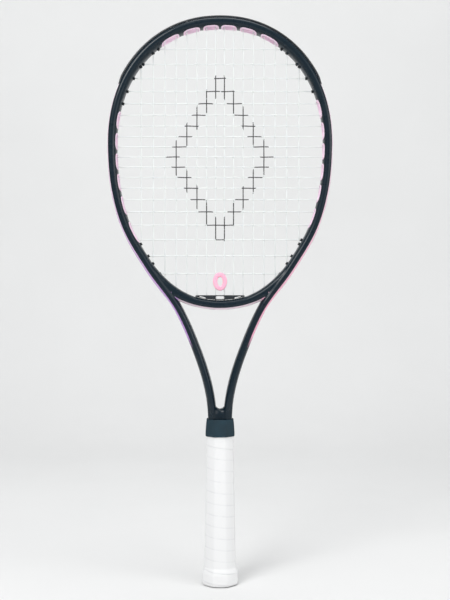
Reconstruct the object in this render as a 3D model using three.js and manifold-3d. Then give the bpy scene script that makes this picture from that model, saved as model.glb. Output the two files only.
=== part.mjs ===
// Tennis racket: a moulded hoop with open string ports, two arms and a bridge, strung and gripped.
// Millimetres, +Z up the handle axis, string bed in the XZ plane, striking face towards -Y.
import * as THREE from "three";
import { mergeVertices } from "three/addons/utils/BufferGeometryUtils.js";
import Module from "manifold-3d";

// ---- driving dimensions ----
const GAP = 0.3; // clearance between pieces that touch
const THIN_GAP = 0.2; // clearance between the wrapped layers of the handle

const HEAD_CENTRE_Z = 531; // height of the widest place of the hoop
const HEAD_HALF_WIDTH = 130.4; // tube centre line, sideways from the axis
const HEAD_RISE = 147; // tube centre line, from the widest place up to the tip
const HEAD_ROUNDNESS = 2.12; // exponent of the superellipse over the head
const SHOULDER = [[126.4, 477.9], [113, 430], [85, 381.4]]; // tube centre line below it
const ARM = [[50.7, 333.1], [28.5, 283.7], [16.2, 246.7], [11, 221.6], [9.4, 203], [9.4, 186]];

const TUBE_HALF_WIDTH = 6; // hoop tube, in the plane of the strings
const TUBE_HALF_DEPTH = 11.5; // hoop tube, front to back
const ARM_HALF_WIDTH = 5.3;
const ARM_HALF_DEPTH = 11;
const GROOVE_DEPTH = 2.6; // string groove round the outside of the hoop
const GROOVE_HALF_WIDTH = 2.7;

const BRIDGE_Z = 336.8; // centre line of the bridge, on the axis
const BRIDGE_RADIUS = 114.6;
const BRIDGE_REACH = 58; // how far the bridge runs sideways into the arms
const BRIDGE_HALF_DEPTH = 10;

const STRING_DIAMETER = 1.3;
const MAIN_COUNT = 16;
const MAIN_PITCH = 10.4; // spacing of the middle mains
const MAIN_SPREAD = 0.31; // extra spacing towards the sides
const CROSS_COUNT = 19;
const CROSS_MIDDLE_Z = 516;
const CROSS_PITCH = 12.2;
const CROSS_SPREAD_UP = 0.0283; // extra spacing towards the tip
const CROSS_SPREAD_DOWN = 0.043; // extra spacing towards the bridge
const WEAVE_GAP = 0.35; // between a main and the cross that passes it
const WEAVE = STRING_DIAMETER + WEAVE_GAP; // how far a cross swings out of the plane of the mains
const STRING_PLAY = 0.5; // free space beside a string in its hole or port
const RUN_OFFSET = 1; // mains run in front of the mid plane outside the hoop, crosses behind it

const PORT_HALF_HEIGHT = 7;
const LINER_WALL = 1;
const PORT_MARGIN = LINER_WALL + GAP + STRING_PLAY + STRING_DIAMETER / 2; // string to port end
const LINER_PROUD = 0.5; // liner past the inner wall of the hoop

const BARREL_WALL = 0.55;
const BARREL_BORE = STRING_DIAMETER + 2 * STRING_PLAY;
const BARREL_DIAMETER = BARREL_BORE + 2 * BARREL_WALL; // grommet barrels
const BARREL_PROUD = 0.8; // barrel past the inner wall of the hoop
const STRIP_THICKNESS = 0.7;
const BUMPER_THICKNESS = 1.8;
const BUMPER_END_Z = 601;

const COLLAR_Z = [179, 199.5];
const COLLAR_TRAVEL = 8; // up the shaft
const SHAFT_TOP_Z = 211.2; // bottom of the throat opening
const SHAFT_WEB_HALF_DEPTH = 9.6;

const HANDLE_HALF_WIDTH = 16.3; // outside of the overgrip
const HANDLE_FLATNESS = 0.89; // depth of the handle against its width
const HANDLE_TOP_Z = 186;
const BUTT_HALF_WIDTH = 21.7;
const FLARE_Z = [14, 30]; // where the butt stops and starts to flare
const BUTT_EDGE = 3.2; // bevel round the butt end
const OVERGRIP_THICKNESS = 0.9;
const BASE_GRIP_THICKNESS = 1.6;
const PALLET_WALL = 2.6;
const CAP_SLEEVE_WALL = 1.3;
const CAP_TOP_Z = 36;
const CAP_LEDGE_Z = [2.2, 3.4];
const TAPE_THICKNESS = 0.3;
const TAPE_Z = [180, 185.5];

const DAMPENER_Z = 365.3;
const DAMPENER_HALF = [8.6, 11.5]; // flanges, half width and half height
const DAMPENER_CORE = [4.25, 7.6];
const DAMPENER_HOLE = [3.2, 6.5];
const DAMPENER_SLOT_HALF = 2.7; // half the groove that holds the strings
const DAMPENER_HALF_DEPTH = 4.4;

const INSERT_HALF_WIDTH = 30;
const INSERT_HEIGHT = 6;
const INSERT_HALF_DEPTH = 6;

// ---- materials ----
const paint = (color, roughness, metalness = 0) =>
  new THREE.MeshStandardMaterial({ color, roughness, metalness });
const frameLacquer = paint(0x0b1d27, 0.25);
const pinkPlastic = paint(0xf0c6cc, 0.45);
const blackPlastic = paint(0x101417, 0.5);
const stringNylon = paint(0xf1efe6, 0.35);
const pinkRubber = paint(0xf3a9c4, 0.5);
const darkRubber = paint(0x12252c, 0.7);
const whiteWrap = paint(0xf3f2f0, 0.85);
const greyGrip = paint(0x55585a, 0.9);
const palletFoam = paint(0xc9bfa4, 0.9);
const steel = paint(0xb8bcc0, 0.35, 0.9);
const tapeFilm = paint(0x202428, 0.4);

// ---- solids: closed meshes joined and cut ----
const wasm = await Module();
wasm.setup();

function solid(geometry) {
  const bare = geometry.clone();
  bare.deleteAttribute("normal");
  bare.deleteAttribute("uv");
  const merged = mergeVertices(bare, 1e-4);
  return new wasm.Manifold(new wasm.Mesh({
    numProp: 3,
    vertProperties: new Float32Array(merged.attributes.position.array),
    triVerts: new Uint32Array(merged.index.array),
  }));
}

function mesh(name, body, material) {
  const data = body.getMesh();
  const geometry = new THREE.BufferGeometry();
  geometry.setAttribute("position", new THREE.BufferAttribute(data.vertProperties, 3));
  geometry.setIndex(new THREE.BufferAttribute(data.triVerts, 1));
  geometry.computeVertexNormals();
  const result = new THREE.Mesh(geometry, material);
  result.name = name;
  return result;
}

const joined = (bodies) => bodies.reduce((sum, body) => sum.add(body));

function box(x, y, z) {
  const geometry = new THREE.BoxGeometry(x[1] - x[0], y[1] - y[0], z[1] - z[0]);
  geometry.translate((x[0] + x[1]) / 2, (y[0] + y[1]) / 2, (z[0] + z[1]) / 2);
  return solid(geometry);
}

// A prism or sleeve of few sides between two points.
function rod(from, to, radius, sides) {
  const length = from.distanceTo(to);
  const geometry = new THREE.CylinderGeometry(radius, radius, length, sides);
  const along = to.clone().sub(from).normalize();
  const turn = new THREE.Quaternion().setFromUnitVectors(new THREE.Vector3(0, 1, 0), along);
  geometry.applyQuaternion(turn);
  const middle = from.clone().add(to).multiplyScalar(0.5);
  geometry.translate(middle.x, middle.y, middle.z);
  return solid(geometry);
}

// ---- centre line of the tube: right arm, round the head, left arm ----
const EXPONENT = 2 / HEAD_ROUNDNESS;

function headPoint(angle) {
  const x = HEAD_HALF_WIDTH * Math.cos(angle) ** EXPONENT;
  const z = HEAD_CENTRE_Z + HEAD_RISE * Math.sin(angle) ** EXPONENT;
  return [x, z];
}

const HEAD_STEPS = 8;
const headAngles = Array.from({ length: HEAD_STEPS }, (_, i) => (i * Math.PI) / 2 / HEAD_STEPS);
const rightSide = [...ARM].reverse().concat([...SHOULDER].reverse(), headAngles.map(headPoint));
const tip = [0, HEAD_CENTRE_Z + HEAD_RISE];
const leftSide = [...rightSide].reverse().map(([x, z]) => [-x, z]);
const linePoints = [...rightSide, tip, ...leftSide].map(([x, z]) => new THREE.Vector3(x, 0, z));
const tubeLine = new THREE.CatmullRomCurve3(linePoints, false, "centripetal");

// A stretch of a curve between two of its own positions, spaced evenly for extrusion.
class Stretch extends THREE.Curve {
  constructor(curve, start, end) {
    super();
    this.curve = curve;
    this.start = start;
    this.end = end;
  }

  at(u) {
    return this.start + (this.end - this.start) * u;
  }

  getPoint(t) {
    return this.curve.getPointAt(this.at(t));
  }

  getPointAt(u) {
    return this.getPoint(u);
  }

  getTangentAt(u) {
    return this.curve.getTangentAt(this.at(u));
  }
}

// A route of straight runs through given points, for the strings.
class Route extends THREE.Curve {
  constructor(points) {
    super();
    this.points = points;
  }

  getPointAt(u) {
    const place = Math.round(u * (this.points.length - 1));
    return this.points[place].clone();
  }

  getTangentAt(u) {
    const last = this.points.length - 1;
    const place = Math.round(u * last);
    const before = this.points[Math.max(place - 1, 0)];
    const after = this.points[Math.min(place + 1, last)];
    const here = this.points[place];
    const incoming = here.clone().sub(before).normalize();
    const outgoing = after.clone().sub(here).normalize();
    return incoming.add(outgoing).normalize();
  }
}

// Sections are drawn as [outward, backward] pairs.
function sweep(section, path, steps) {
  const outline = section.map(([out, back]) => new THREE.Vector2(-back, out));
  if (THREE.ShapeUtils.area(outline) < 0) {
    outline.reverse();
  }
  const shape = new THREE.Shape(outline);
  return solid(new THREE.ExtrudeGeometry(shape, { steps, extrudePath: path, bevelEnabled: false }));
}

const SAMPLES = 1500;
const samples = Array.from({ length: SAMPLES + 1 }, (_, i) => {
  const at = i / SAMPLES;
  const point = tubeLine.getPointAt(at);
  const tangent = tubeLine.getTangentAt(at);
  const outward = new THREE.Vector3(tangent.z, 0, -tangent.x);
  return { at, point, outward };
});

const offset = (place, out) => place.point.clone().addScaledVector(place.outward, out);

// The place at any share of the line, between two samples.
function placeAt(at) {
  const index = Math.min(SAMPLES - 1, Math.floor(at * SAMPLES));
  const share = at * SAMPLES - index;
  const [before, after] = [samples[index], samples[index + 1]];
  return {
    at,
    point: before.point.clone().lerp(after.point, share),
    outward: before.outward.clone().lerp(after.outward, share).normalize(),
  };
}

// Where the line at a given offset from the centre line first meets a given x or z.
function placeWhere(axis, value, out, from, to) {
  const first = Math.round(from * SAMPLES);
  const last = Math.round(to * SAMPLES);
  for (let i = first; i < last; i += 1) {
    const here = offset(samples[i], out)[axis] - value;
    const next = offset(samples[i + 1], out)[axis] - value;
    if (here !== next && here * next <= 0) {
      return placeAt((i + here / (here - next)) / SAMPLES);
    }
  }
  throw new Error(`no place at ${axis} ${value}`);
}

const widest = samples.findIndex((place) => place.point.z >= HEAD_CENTRE_Z) / SAMPLES;
const SIDES = { right: [0.02, 0.5], left: [0.5, 0.98] };
const heightPlace = (side, z, out) => placeWhere("z", z, out, ...SIDES[side]);
const headPlace = (x, out) => placeWhere("x", x, out, widest, 1 - widest);
const shoulderPlace = (x, out) =>
  (x > 0 ? placeWhere("x", x, out, 0.02, widest) : placeWhere("x", x, out, 1 - widest, 0.98));

// ---- string positions ----
function mainX(number) {
  const steps = number - 0.5;
  return MAIN_PITCH * steps + MAIN_SPREAD * steps * steps;
}

function crossZ(number) {
  const steps = number - (CROSS_COUNT + 1) / 2;
  const spread = steps > 0 ? CROSS_SPREAD_DOWN : CROSS_SPREAD_UP;
  return CROSS_MIDDLE_Z - CROSS_PITCH * steps - spread * steps ** 3;
}

const GROOVE_FLOOR = TUBE_HALF_WIDTH - GROOVE_DEPTH;
const STRIP_INNER = GROOVE_FLOOR + GAP;
const STRIP_OUTER = STRIP_INNER + STRIP_THICKNESS;
const RUN_OUT = STRIP_OUTER + GAP + STRING_DIAMETER / 2;
const BARREL_INNER = -TUBE_HALF_WIDTH - BARREL_PROUD;

const HEAD_PORTS = [[-6, -5], [-4, -3], [-2, -1], [1, 2], [3, 4], [5, 6]];
const LEFT_PORTS = [[6, 7], [8, 9], [10, 11], [12, 13], [14, 15], [16, 17]];
const RIGHT_PORTS = [[5, 6], [7, 8], [9, 10], [11, 12], [13, 14], [15, 16]];
const HALF_MAINS = MAIN_COUNT / 2;
const BRIDGE_MAINS = 4; // mains on each side that go through the bridge
const HEAD_PORT_MAINS = 6; // mains on each side that go through a head port
const CORNER_MAIN = 5; // main that leaves through the corner of bridge and arm
const CORNER_BARREL_INNER = -11.4;

const inPort = (ports, number) => ports.some((pair) => pair.includes(number));
const signedX = (number) => Math.sign(number) * mainX(Math.abs(number));

// Every string hole outside the ports and the bridge, with its place and the inner end of its barrel.
function barrelPlaces(region) {
  const places = [];
  for (const side of ["left", "right"]) {
    const sign = side === "left" ? -1 : 1;
    const ports = side === "left" ? LEFT_PORTS : RIGHT_PORTS;
    const lastHead = ports[0][0];
    for (let number = 1; number <= CROSS_COUNT; number += 1) {
      const here = number < lastHead ? "head" : `${side} shoulder`;
      if (!inPort(ports, number) && here === region) {
        const place = heightPlace(side, crossZ(number), BARREL_INNER);
        places.push({ place, back: RUN_OFFSET, inner: BARREL_INNER });
      }
    }
    for (let number = CORNER_MAIN; number <= HALF_MAINS; number += 1) {
      const inner = number === CORNER_MAIN ? CORNER_BARREL_INNER : BARREL_INNER;
      if (region === "head" && number > HEAD_PORT_MAINS) {
        places.push({ place: headPlace(sign * mainX(number), inner), back: -RUN_OFFSET, inner });
      }
      if (region === `${side} shoulder`) {
        places.push({ place: shoulderPlace(sign * mainX(number), inner), back: -RUN_OFFSET, inner });
      }
    }
  }
  return places;
}

const lifted = (point, back) => point.clone().setY(back);

function barrelRod({ place, back, inner }, radius, from, to) {
  const start = lifted(offset(place, from ?? inner), back);
  return rod(start, lifted(offset(place, to), back), radius, 6);
}

// ---- bridge ----
const bridgeAngle = Math.asin(BRIDGE_REACH / BRIDGE_RADIUS);

class BridgeArc extends THREE.Curve {
  constructor(reach) {
    super();
    this.reach = reach;
  }

  angle(t) {
    return this.reach * (2 * t - 1);
  }

  getPoint(t) {
    const angle = this.angle(t);
    const rise = BRIDGE_RADIUS * (1 - Math.cos(angle));
    return new THREE.Vector3(BRIDGE_RADIUS * Math.sin(angle), 0, BRIDGE_Z + rise);
  }
}

// The underside of the bridge is its outward side; depth below the centre line at a given x.
function bridgePoint(x, down) {
  const angle = Math.asin(x / BRIDGE_RADIUS);
  const z = BRIDGE_Z + BRIDGE_RADIUS * (1 - Math.cos(angle)) - down / Math.cos(angle);
  return new THREE.Vector3(x, 0, z);
}

// ---- frame ----
function tubeSection(halfWidth, halfDepth, grooved) {
  const quarter = [[1, 0.35], [0.7, 0.8], [0, 1]];
  const front = quarter.map(([out, back]) => [out * halfWidth, -back * halfDepth]);
  const inner = [...quarter].reverse().slice(1).map(([out, back]) => [-out * halfWidth, -back * halfDepth]);
  const half = [...front, ...inner];
  const mirrored = [...half].reverse().map(([out, back]) => [out, -back]);
  const lip = [
    [halfWidth, GROOVE_HALF_WIDTH],
    [halfWidth - GROOVE_DEPTH, GROOVE_HALF_WIDTH],
    [halfWidth - GROOVE_DEPTH, -GROOVE_HALF_WIDTH],
    [halfWidth, -GROOVE_HALF_WIDTH],
  ];
  return [...half, ...mirrored, ...(grooved ? lip : [])];
}

const JUNCTION_Z = [322, 324]; // the hoop section runs down to the first, the arms up to the second
const hoopStart = heightPlace("right", JUNCTION_Z[0], 0).at;
const armEnd = heightPlace("right", JUNCTION_Z[1], 0).at;
const HOOP_STEPS = 50;
const hoopLine = new Stretch(tubeLine, hoopStart, 1 - hoopStart);

function pillOutline(halfLength, halfHeight) {
  const corner = Math.min(halfHeight, halfLength) * 0.62;
  return [
    [halfLength - corner, -halfHeight], [halfLength, -halfHeight + corner],
    [halfLength, halfHeight - corner], [halfLength - corner, halfHeight],
    [corner - halfLength, halfHeight], [-halfLength, halfHeight - corner],
    [-halfLength, corner - halfHeight], [corner - halfLength, -halfHeight],
  ];
}

// A pill-shaped prism through the hoop: sideways for a side port, upwards for a head port.
function portPrism(port, shrink) {
  const shape = new THREE.Shape(
    pillOutline(port.halfLength - shrink, PORT_HALF_HEIGHT - shrink).map(([a, b]) => new THREE.Vector2(a, b)),
  );
  const depth = 2 * (TUBE_HALF_WIDTH + PORT_REACH);
  const geometry = new THREE.ExtrudeGeometry(shape, { depth, bevelEnabled: false });
  geometry.translate(0, 0, -depth / 2);
  if (!port.vertical) {
    geometry.rotateY(Math.PI / 2);
  }
  geometry.translate(port.centre.x, 0, port.centre.z);
  return solid(geometry);
}

const PORT_REACH = 7; // how far a port prism runs past the tube

function sidePort(side, [first, second]) {
  const top = crossZ(first);
  const bottom = crossZ(second);
  const centre = heightPlace(side, (top + bottom) / 2, 0).point;
  return { name: side, centre, halfLength: (top - bottom) / 2 + PORT_MARGIN, vertical: false };
}

function headPort([first, second]) {
  const from = signedX(first);
  const to = signedX(second);
  const centre = headPlace((from + to) / 2, 0).point;
  return { name: "head", centre, halfLength: (to - from) / 2 + PORT_MARGIN, vertical: true };
}

const ports = [
  ...HEAD_PORTS.map(headPort),
  ...LEFT_PORTS.map((pair) => sidePort("left", pair)),
  ...RIGHT_PORTS.map((pair) => sidePort("right", pair)),
];

const allBarrels = ["head", "left shoulder", "right shoulder"].flatMap(barrelPlaces);
const bridgeHoles = Array.from({ length: BRIDGE_MAINS }, (_, i) => mainX(i + 1)).flatMap((x) => [-x, x]);

function verticalRod(x, back, low, high, radius) {
  return rod(new THREE.Vector3(x, back, low), new THREE.Vector3(x, back, high), radius, 6);
}

function makeFrame() {
  const hoop = sweep(tubeSection(TUBE_HALF_WIDTH, TUBE_HALF_DEPTH, true), hoopLine, HOOP_STEPS);
  const armSection = tubeSection(ARM_HALF_WIDTH, ARM_HALF_DEPTH, false);
  const rightArm = sweep(armSection, new Stretch(tubeLine, 0, armEnd), 12);
  const leftArm = sweep(armSection, new Stretch(tubeLine, 1 - armEnd, 1), 12);
  const bridgeSection = tubeSection(TUBE_HALF_WIDTH, BRIDGE_HALF_DEPTH, true);
  const bridge = sweep(bridgeSection, new BridgeArc(bridgeAngle), 14);
  const [armX, armZ] = ARM[ARM.length - 1];
  const webDepth = [-SHAFT_WEB_HALF_DEPTH, SHAFT_WEB_HALF_DEPTH];
  const web = box([-armX, armX], webDepth, [armZ, SHAFT_TOP_Z]);
  const stemTop = armZ + GAP;
  const stem = ring([[0, STEM_Z], [STEM_RADIUS, STEM_Z], [STEM_RADIUS, stemTop], [0, stemTop]]);
  const shaft = joined([rightArm, leftArm, web]).subtract(collarSeatWaste(armZ));
  let frame = joined([hoop, bridge.subtract(grooveKeepClear()), shaft, stem]);
  frame = frame.subtract(joined(ports.map((port) => portPrism(port, 0))));
  const radius = BARREL_DIAMETER / 2 + GAP;
  const bores = allBarrels.map((barrel) => barrelRod(barrel, radius, barrel.inner - 2, TUBE_HALF_WIDTH + 1));
  const low = BRIDGE_Z - 2 * TUBE_HALF_WIDTH;
  const high = BRIDGE_Z + 5 * TUBE_HALF_WIDTH;
  const bridgeBores = bridgeHoles.map((x) => verticalRod(x, -RUN_OFFSET, low, high, radius));
  return frame.subtract(joined([...bores, ...bridgeBores]));
}

// What is taken off the shaft so that the collar and its travel find eight flat sides.
function collarSeatWaste(low) {
  const high = COLLAR_Z[1] + COLLAR_TRAVEL + 1;
  const far = 2 * BUTT_HALF_WIDTH;
  const block = box([-far, far], [-far, far], [low - 1, high]);
  const kept = [[0, low - 2], [SHAFT_RADIUS, low - 2], [SHAFT_RADIUS, high + 1], [0, high + 1]];
  return block.subtract(ring(kept));
}

// The string groove of the hoop, which the ends of the bridge leave open.
function grooveKeepClear() {
  const wide = GROOVE_HALF_WIDTH;
  const section = [
    [GROOVE_FLOOR, -wide], [GROOVE_FLOOR, wide],
    [3 * TUBE_HALF_WIDTH, wide], [3 * TUBE_HALF_WIDTH, -wide],
  ];
  return sweep(section, hoopLine, HOOP_STEPS);
}

// ---- port liners ----
function makeLiner(port) {
  const outer = portPrism(port, GAP);
  const inner = portPrism(port, GAP + LINER_WALL);
  return outer.subtract(inner).intersect(linerEnvelope);
}

const linerTop = GROOVE_FLOOR - GAP;
const linerBottom = -TUBE_HALF_WIDTH - LINER_PROUD;
const linerEnvelope = sweep([
  [linerTop, -TUBE_HALF_DEPTH], [linerTop, TUBE_HALF_DEPTH],
  [linerBottom, TUBE_HALF_DEPTH], [linerBottom, -TUBE_HALF_DEPTH],
], hoopLine, HOOP_STEPS);

// ---- grommets ----
const stripSection = [
  [STRIP_INNER, -GROOVE_HALF_WIDTH + GAP], [STRIP_INNER, GROOVE_HALF_WIDTH - GAP],
  [STRIP_OUTER, GROOVE_HALF_WIDTH - GAP], [STRIP_OUTER, -GROOVE_HALF_WIDTH + GAP],
];
const STRIP_END = 2.2; // strip past its last barrel
const lineLength = tubeLine.getLength();

function stripBetween(places, steps) {
  const ats = places.map(({ place }) => place.at);
  const from = Math.min(...ats) - STRIP_END / lineLength;
  const to = Math.max(...ats) + STRIP_END / lineLength;
  return sweep(stripSection, new Stretch(tubeLine, from, to), steps);
}

function withBarrels(strip, barrels) {
  const tubes = barrels.map((barrel) => barrelRod(barrel, BARREL_DIAMETER / 2, undefined, STRIP_OUTER - 0.1));
  const bores = barrels.map((barrel) =>
    barrelRod(barrel, BARREL_BORE / 2, barrel.inner - 1, STRIP_OUTER + 1));
  return joined([strip, ...tubes]).subtract(joined(bores));
}

function makeShoulderStrip(side) {
  const barrels = barrelPlaces(`${side} shoulder`);
  return withBarrels(stripBetween(barrels, 12), barrels);
}

// The guard: wings over the outside of the head, joined to the strip in the groove.
function makeBumper() {
  const barrels = barrelPlaces("head");
  const strip = stripBetween(barrels, 24);
  const top = TUBE_HALF_WIDTH + BUMPER_THICKNESS;
  const wall = GROOVE_HALF_WIDTH - GAP;
  const channel = wall - 0.5;
  const under = TUBE_HALF_WIDTH + GAP;
  const wing = [
    [STRIP_INNER, wall], [under, wall], [under, 4.1], [under - 1.8, 9.2],
    [top - 1.2, 9.2], [top, 5], [top, channel], [STRIP_OUTER, channel],
  ];
  const section = [...wing, ...[...wing].reverse().map(([out, back]) => [out, -back])];
  const start = heightPlace("right", BUMPER_END_Z, 0).at;
  const wings = sweep(section, new Stretch(tubeLine, start, 1 - start), 24);
  const openings = joined(ports.filter((port) => port.vertical).map((port) => portPrism(port, -GAP)));
  return withBarrels(strip.add(wings).subtract(openings), barrels);
}

function makeThroatStrip() {
  const reach = Math.asin((mainX(BRIDGE_MAINS) + STRIP_END) / BRIDGE_RADIUS);
  const strip = sweep(stripSection, new BridgeArc(reach), 10);
  const bottom = (x) => bridgePoint(x, STRIP_OUTER - 0.1).z;
  const top = (x) => bridgePoint(x, -TUBE_HALF_WIDTH + GAP).z;
  const radius = BARREL_DIAMETER / 2;
  const tubes = bridgeHoles.map((x) => verticalRod(x, -RUN_OFFSET, bottom(x), top(x), radius));
  const bores = bridgeHoles.map((x) =>
    verticalRod(x, -RUN_OFFSET, bottom(x) - 3, top(x) + 3, BARREL_BORE / 2));
  return joined([strip, ...tubes]).subtract(joined(bores));
}

// A prism of a flat outline in the string plane, from one depth to another.
function flatPrism(outline, from, to) {
  const points = outline.map(([x, z]) => new THREE.Vector2(x, z));
  const shape = new THREE.Shape(points);
  const geometry = new THREE.ExtrudeGeometry(shape, { depth: to - from, bevelEnabled: false });
  geometry.rotateX(Math.PI / 2);
  geometry.translate(0, to, 0);
  return solid(geometry);
}

// The moulded spacer on top of the bridge, with three open slots.
function makeInsert() {
  const top = bridgePoint(0, -TUBE_HALF_WIDTH).z + INSERT_HEIGHT;
  const foot = (x) => bridgePoint(x, -TUBE_HALF_WIDTH - GAP).z;
  const FOOT_STEPS = 10;
  const sole = Array.from({ length: FOOT_STEPS + 1 }, (_, i) => {
    const x = INSERT_HALF_WIDTH * ((2 * i) / FOOT_STEPS - 1);
    return [x, foot(x)];
  });
  const body = flatPrism([...sole, [INSERT_HALF_WIDTH, top], [-INSERT_HALF_WIDTH, top]],
    -INSERT_HALF_DEPTH, INSERT_HALF_DEPTH);
  const middle = (foot(0) + top) / 2;
  const centreSlot = [[-6.4, 0], [-5.2, -1.6], [5.2, -1.6], [6.4, 0], [5.2, 1.6], [-5.2, 1.6]];
  const sideSlot = [[17.6, -0.8], [24.6, 0.8], [24.6, 1.8], [17.6, 0.6]];
  const slots = [centreSlot, sideSlot, sideSlot.map(([x, z]) => [-x, z]).reverse()];
  const far = 2 * INSERT_HALF_DEPTH;
  const cuts = slots.map((slot) => flatPrism(slot.map(([x, z]) => [x, middle + z]), -far, far));
  const bores = bridgeHoles.filter((x) => Math.abs(x) < INSERT_HALF_WIDTH).map((x) =>
    verticalRod(x, -RUN_OFFSET, foot(x) - 3, top + 3, BARREL_BORE / 2 + GAP));
  return body.subtract(joined([...cuts, ...bores]));
}

// ---- strings ----
function stringTube(points) {
  const section = [0, 1, 2, 3].map((i) => {
    const angle = (i * Math.PI) / 2;
    return [Math.cos(angle) * STRING_DIAMETER / 2, Math.sin(angle) * STRING_DIAMETER / 2];
  });
  return sweep(section, new Route(points), points.length - 1);
}

// The groove run between two holes, in steps short enough to follow the hoop.
function grooveRun(from, to, back) {
  const RUN_STEP = 8;
  const length = Math.abs(to.place.at - from.place.at) * lineLength;
  const count = Math.max(1, Math.round(length / RUN_STEP));
  return Array.from({ length: count + 1 }, (_, i) => {
    const at = from.place.at + ((to.place.at - from.place.at) * i) / count;
    return lifted(offset(placeAt(at), RUN_OUT), back);
  });
}

function mainHead(number) {
  const x = signedX(number);
  if (Math.abs(number) <= HEAD_PORT_MAINS) {
    return { place: headPlace(x, RUN_OUT) };
  }
  return { place: headPlace(x, BARREL_INNER), inner: BARREL_INNER };
}

function mainFoot(number) {
  const x = signedX(number);
  if (Math.abs(number) <= BRIDGE_MAINS) {
    return { low: bridgePoint(x, RUN_OUT) };
  }
  const inner = Math.abs(number) === CORNER_MAIN ? CORNER_BARREL_INNER : BARREL_INNER;
  return { place: shoulderPlace(x, inner), inner };
}

const END_ROOM = 4; // straight room between the last crossing and the frame

function mainPoints(number) {
  const x = signedX(number);
  const head = mainHead(number);
  const foot = mainFoot(number);
  const top = offset(head.place, head.inner ?? -TUBE_HALF_WIDTH).z - END_ROOM;
  const bottom = (foot.low ? bridgePoint(x, -TUBE_HALF_WIDTH).z + INSERT_HEIGHT
    : offset(foot.place, foot.inner).z) + END_ROOM;
  const points = [];
  if (foot.low) {
    points.push(lifted(foot.low, -RUN_OFFSET), lifted(bridgePoint(x, -TUBE_HALF_WIDTH), -RUN_OFFSET));
  } else {
    points.push(lifted(offset(foot.place, RUN_OUT), -RUN_OFFSET));
    points.push(lifted(offset(foot.place, foot.inner), -RUN_OFFSET));
  }
  points.push(new THREE.Vector3(x, 0, bottom), new THREE.Vector3(x, 0, top));
  if (head.inner) {
    points.push(lifted(offset(head.place, head.inner), -RUN_OFFSET));
  }
  points.push(lifted(offset(head.place, RUN_OUT), -RUN_OFFSET));
  return points;
}

function makeMainString() {
  const order = [];
  for (let number = HALF_MAINS; number >= 1; number -= 1) {
    order.push(-number);
  }
  for (let number = 1; number <= HALF_MAINS; number += 1) {
    order.push(number);
  }
  const route = [];
  order.forEach((number, index) => {
    const upwards = index % 2 === 1;
    const points = mainPoints(number);
    route.push(...(upwards ? points : [...points].reverse()));
    const next = order[index + 1];
    if (next === undefined) {
      return;
    }
    const from = upwards ? mainHead(number) : mainFoot(number);
    const to = upwards ? mainHead(next) : mainFoot(next);
    if (from.place && to.place) {
      route.push(...grooveRun(from, to, -RUN_OFFSET).slice(1, -1));
    } else {
      const middle = (signedX(number) + signedX(next)) / 2;
      route.push(lifted(bridgePoint(middle, RUN_OUT), -RUN_OFFSET));
    }
  });
  return stringTube(route);
}

function crossEnd(side, number) {
  const list = side === "left" ? LEFT_PORTS : RIGHT_PORTS;
  if (inPort(list, number)) {
    return { place: heightPlace(side, crossZ(number), RUN_OUT) };
  }
  return { place: heightPlace(side, crossZ(number), BARREL_INNER), inner: BARREL_INNER };
}

function endPoints(end) {
  const outer = lifted(offset(end.place, RUN_OUT), RUN_OFFSET);
  return end.inner ? [lifted(offset(end.place, end.inner), RUN_OFFSET), outer] : [outer];
}

// Mains that a cross meets, left to right, and which side of each it passes.
function crossPoints(number) {
  const z = crossZ(number);
  const left = crossEnd("left", number);
  const right = crossEnd("right", number);
  const leftInner = endPoints(left)[0].x;
  const rightInner = endPoints(right)[0].x;
  const points = [];
  for (let index = 0; index < MAIN_COUNT; index += 1) {
    const main = index < HALF_MAINS ? index - HALF_MAINS : index - HALF_MAINS + 1;
    const x = signedX(main);
    if (x > leftInner + 1 && x < rightInner - 1) {
      const side = (index + number) % 2 === 0 ? 1 : -1;
      points.push(new THREE.Vector3(x, side * WEAVE, z));
    }
  }
  return [...endPoints(left).reverse(), ...points, ...endPoints(right)];
}

function makeCrossString() {
  const route = [];
  for (let number = 1; number <= CROSS_COUNT; number += 1) {
    const leftwards = number % 2 === 1;
    const points = crossPoints(number);
    route.push(...(leftwards ? [...points].reverse() : points));
    if (number < CROSS_COUNT) {
      const side = leftwards ? "left" : "right";
      const run = grooveRun(crossEnd(side, number), crossEnd(side, number + 1), RUN_OFFSET);
      route.push(...run.slice(1, -1));
    }
  }
  return stringTube(route);
}

// ---- vibration dampener: an oval spool clipped between the two middle mains ----
function ovalPrism([halfWidth, halfHeight], from, to) {
  const shape = new THREE.Shape();
  shape.absellipse(0, 0, halfWidth, halfHeight, 0, 2 * Math.PI);
  const settings = { depth: to - from, curveSegments: 5, bevelEnabled: false };
  const geometry = new THREE.ExtrudeGeometry(shape, settings);
  geometry.rotateX(Math.PI / 2);
  geometry.translate(0, to, DAMPENER_Z);
  return solid(geometry);
}

function makeDampener() {
  const front = ovalPrism(DAMPENER_HALF, -DAMPENER_HALF_DEPTH, -DAMPENER_SLOT_HALF);
  const back = ovalPrism(DAMPENER_HALF, DAMPENER_SLOT_HALF, DAMPENER_HALF_DEPTH);
  const core = ovalPrism(DAMPENER_CORE, -DAMPENER_HALF_DEPTH, DAMPENER_HALF_DEPTH);
  const hole = ovalPrism(DAMPENER_HOLE, -2 * DAMPENER_HALF_DEPTH, 2 * DAMPENER_HALF_DEPTH);
  return joined([front, back, core]).subtract(hole);
}

// ---- handle: eight-sided layers round one stem ----
const STEM_Z = 8;
const FLAT_TO_CORNER = 1 / Math.cos(Math.PI / 8);
const SHAFT_RADIUS = ARM[ARM.length - 1][0] + ARM_HALF_WIDTH; // flats of the shaft under the collar

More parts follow.
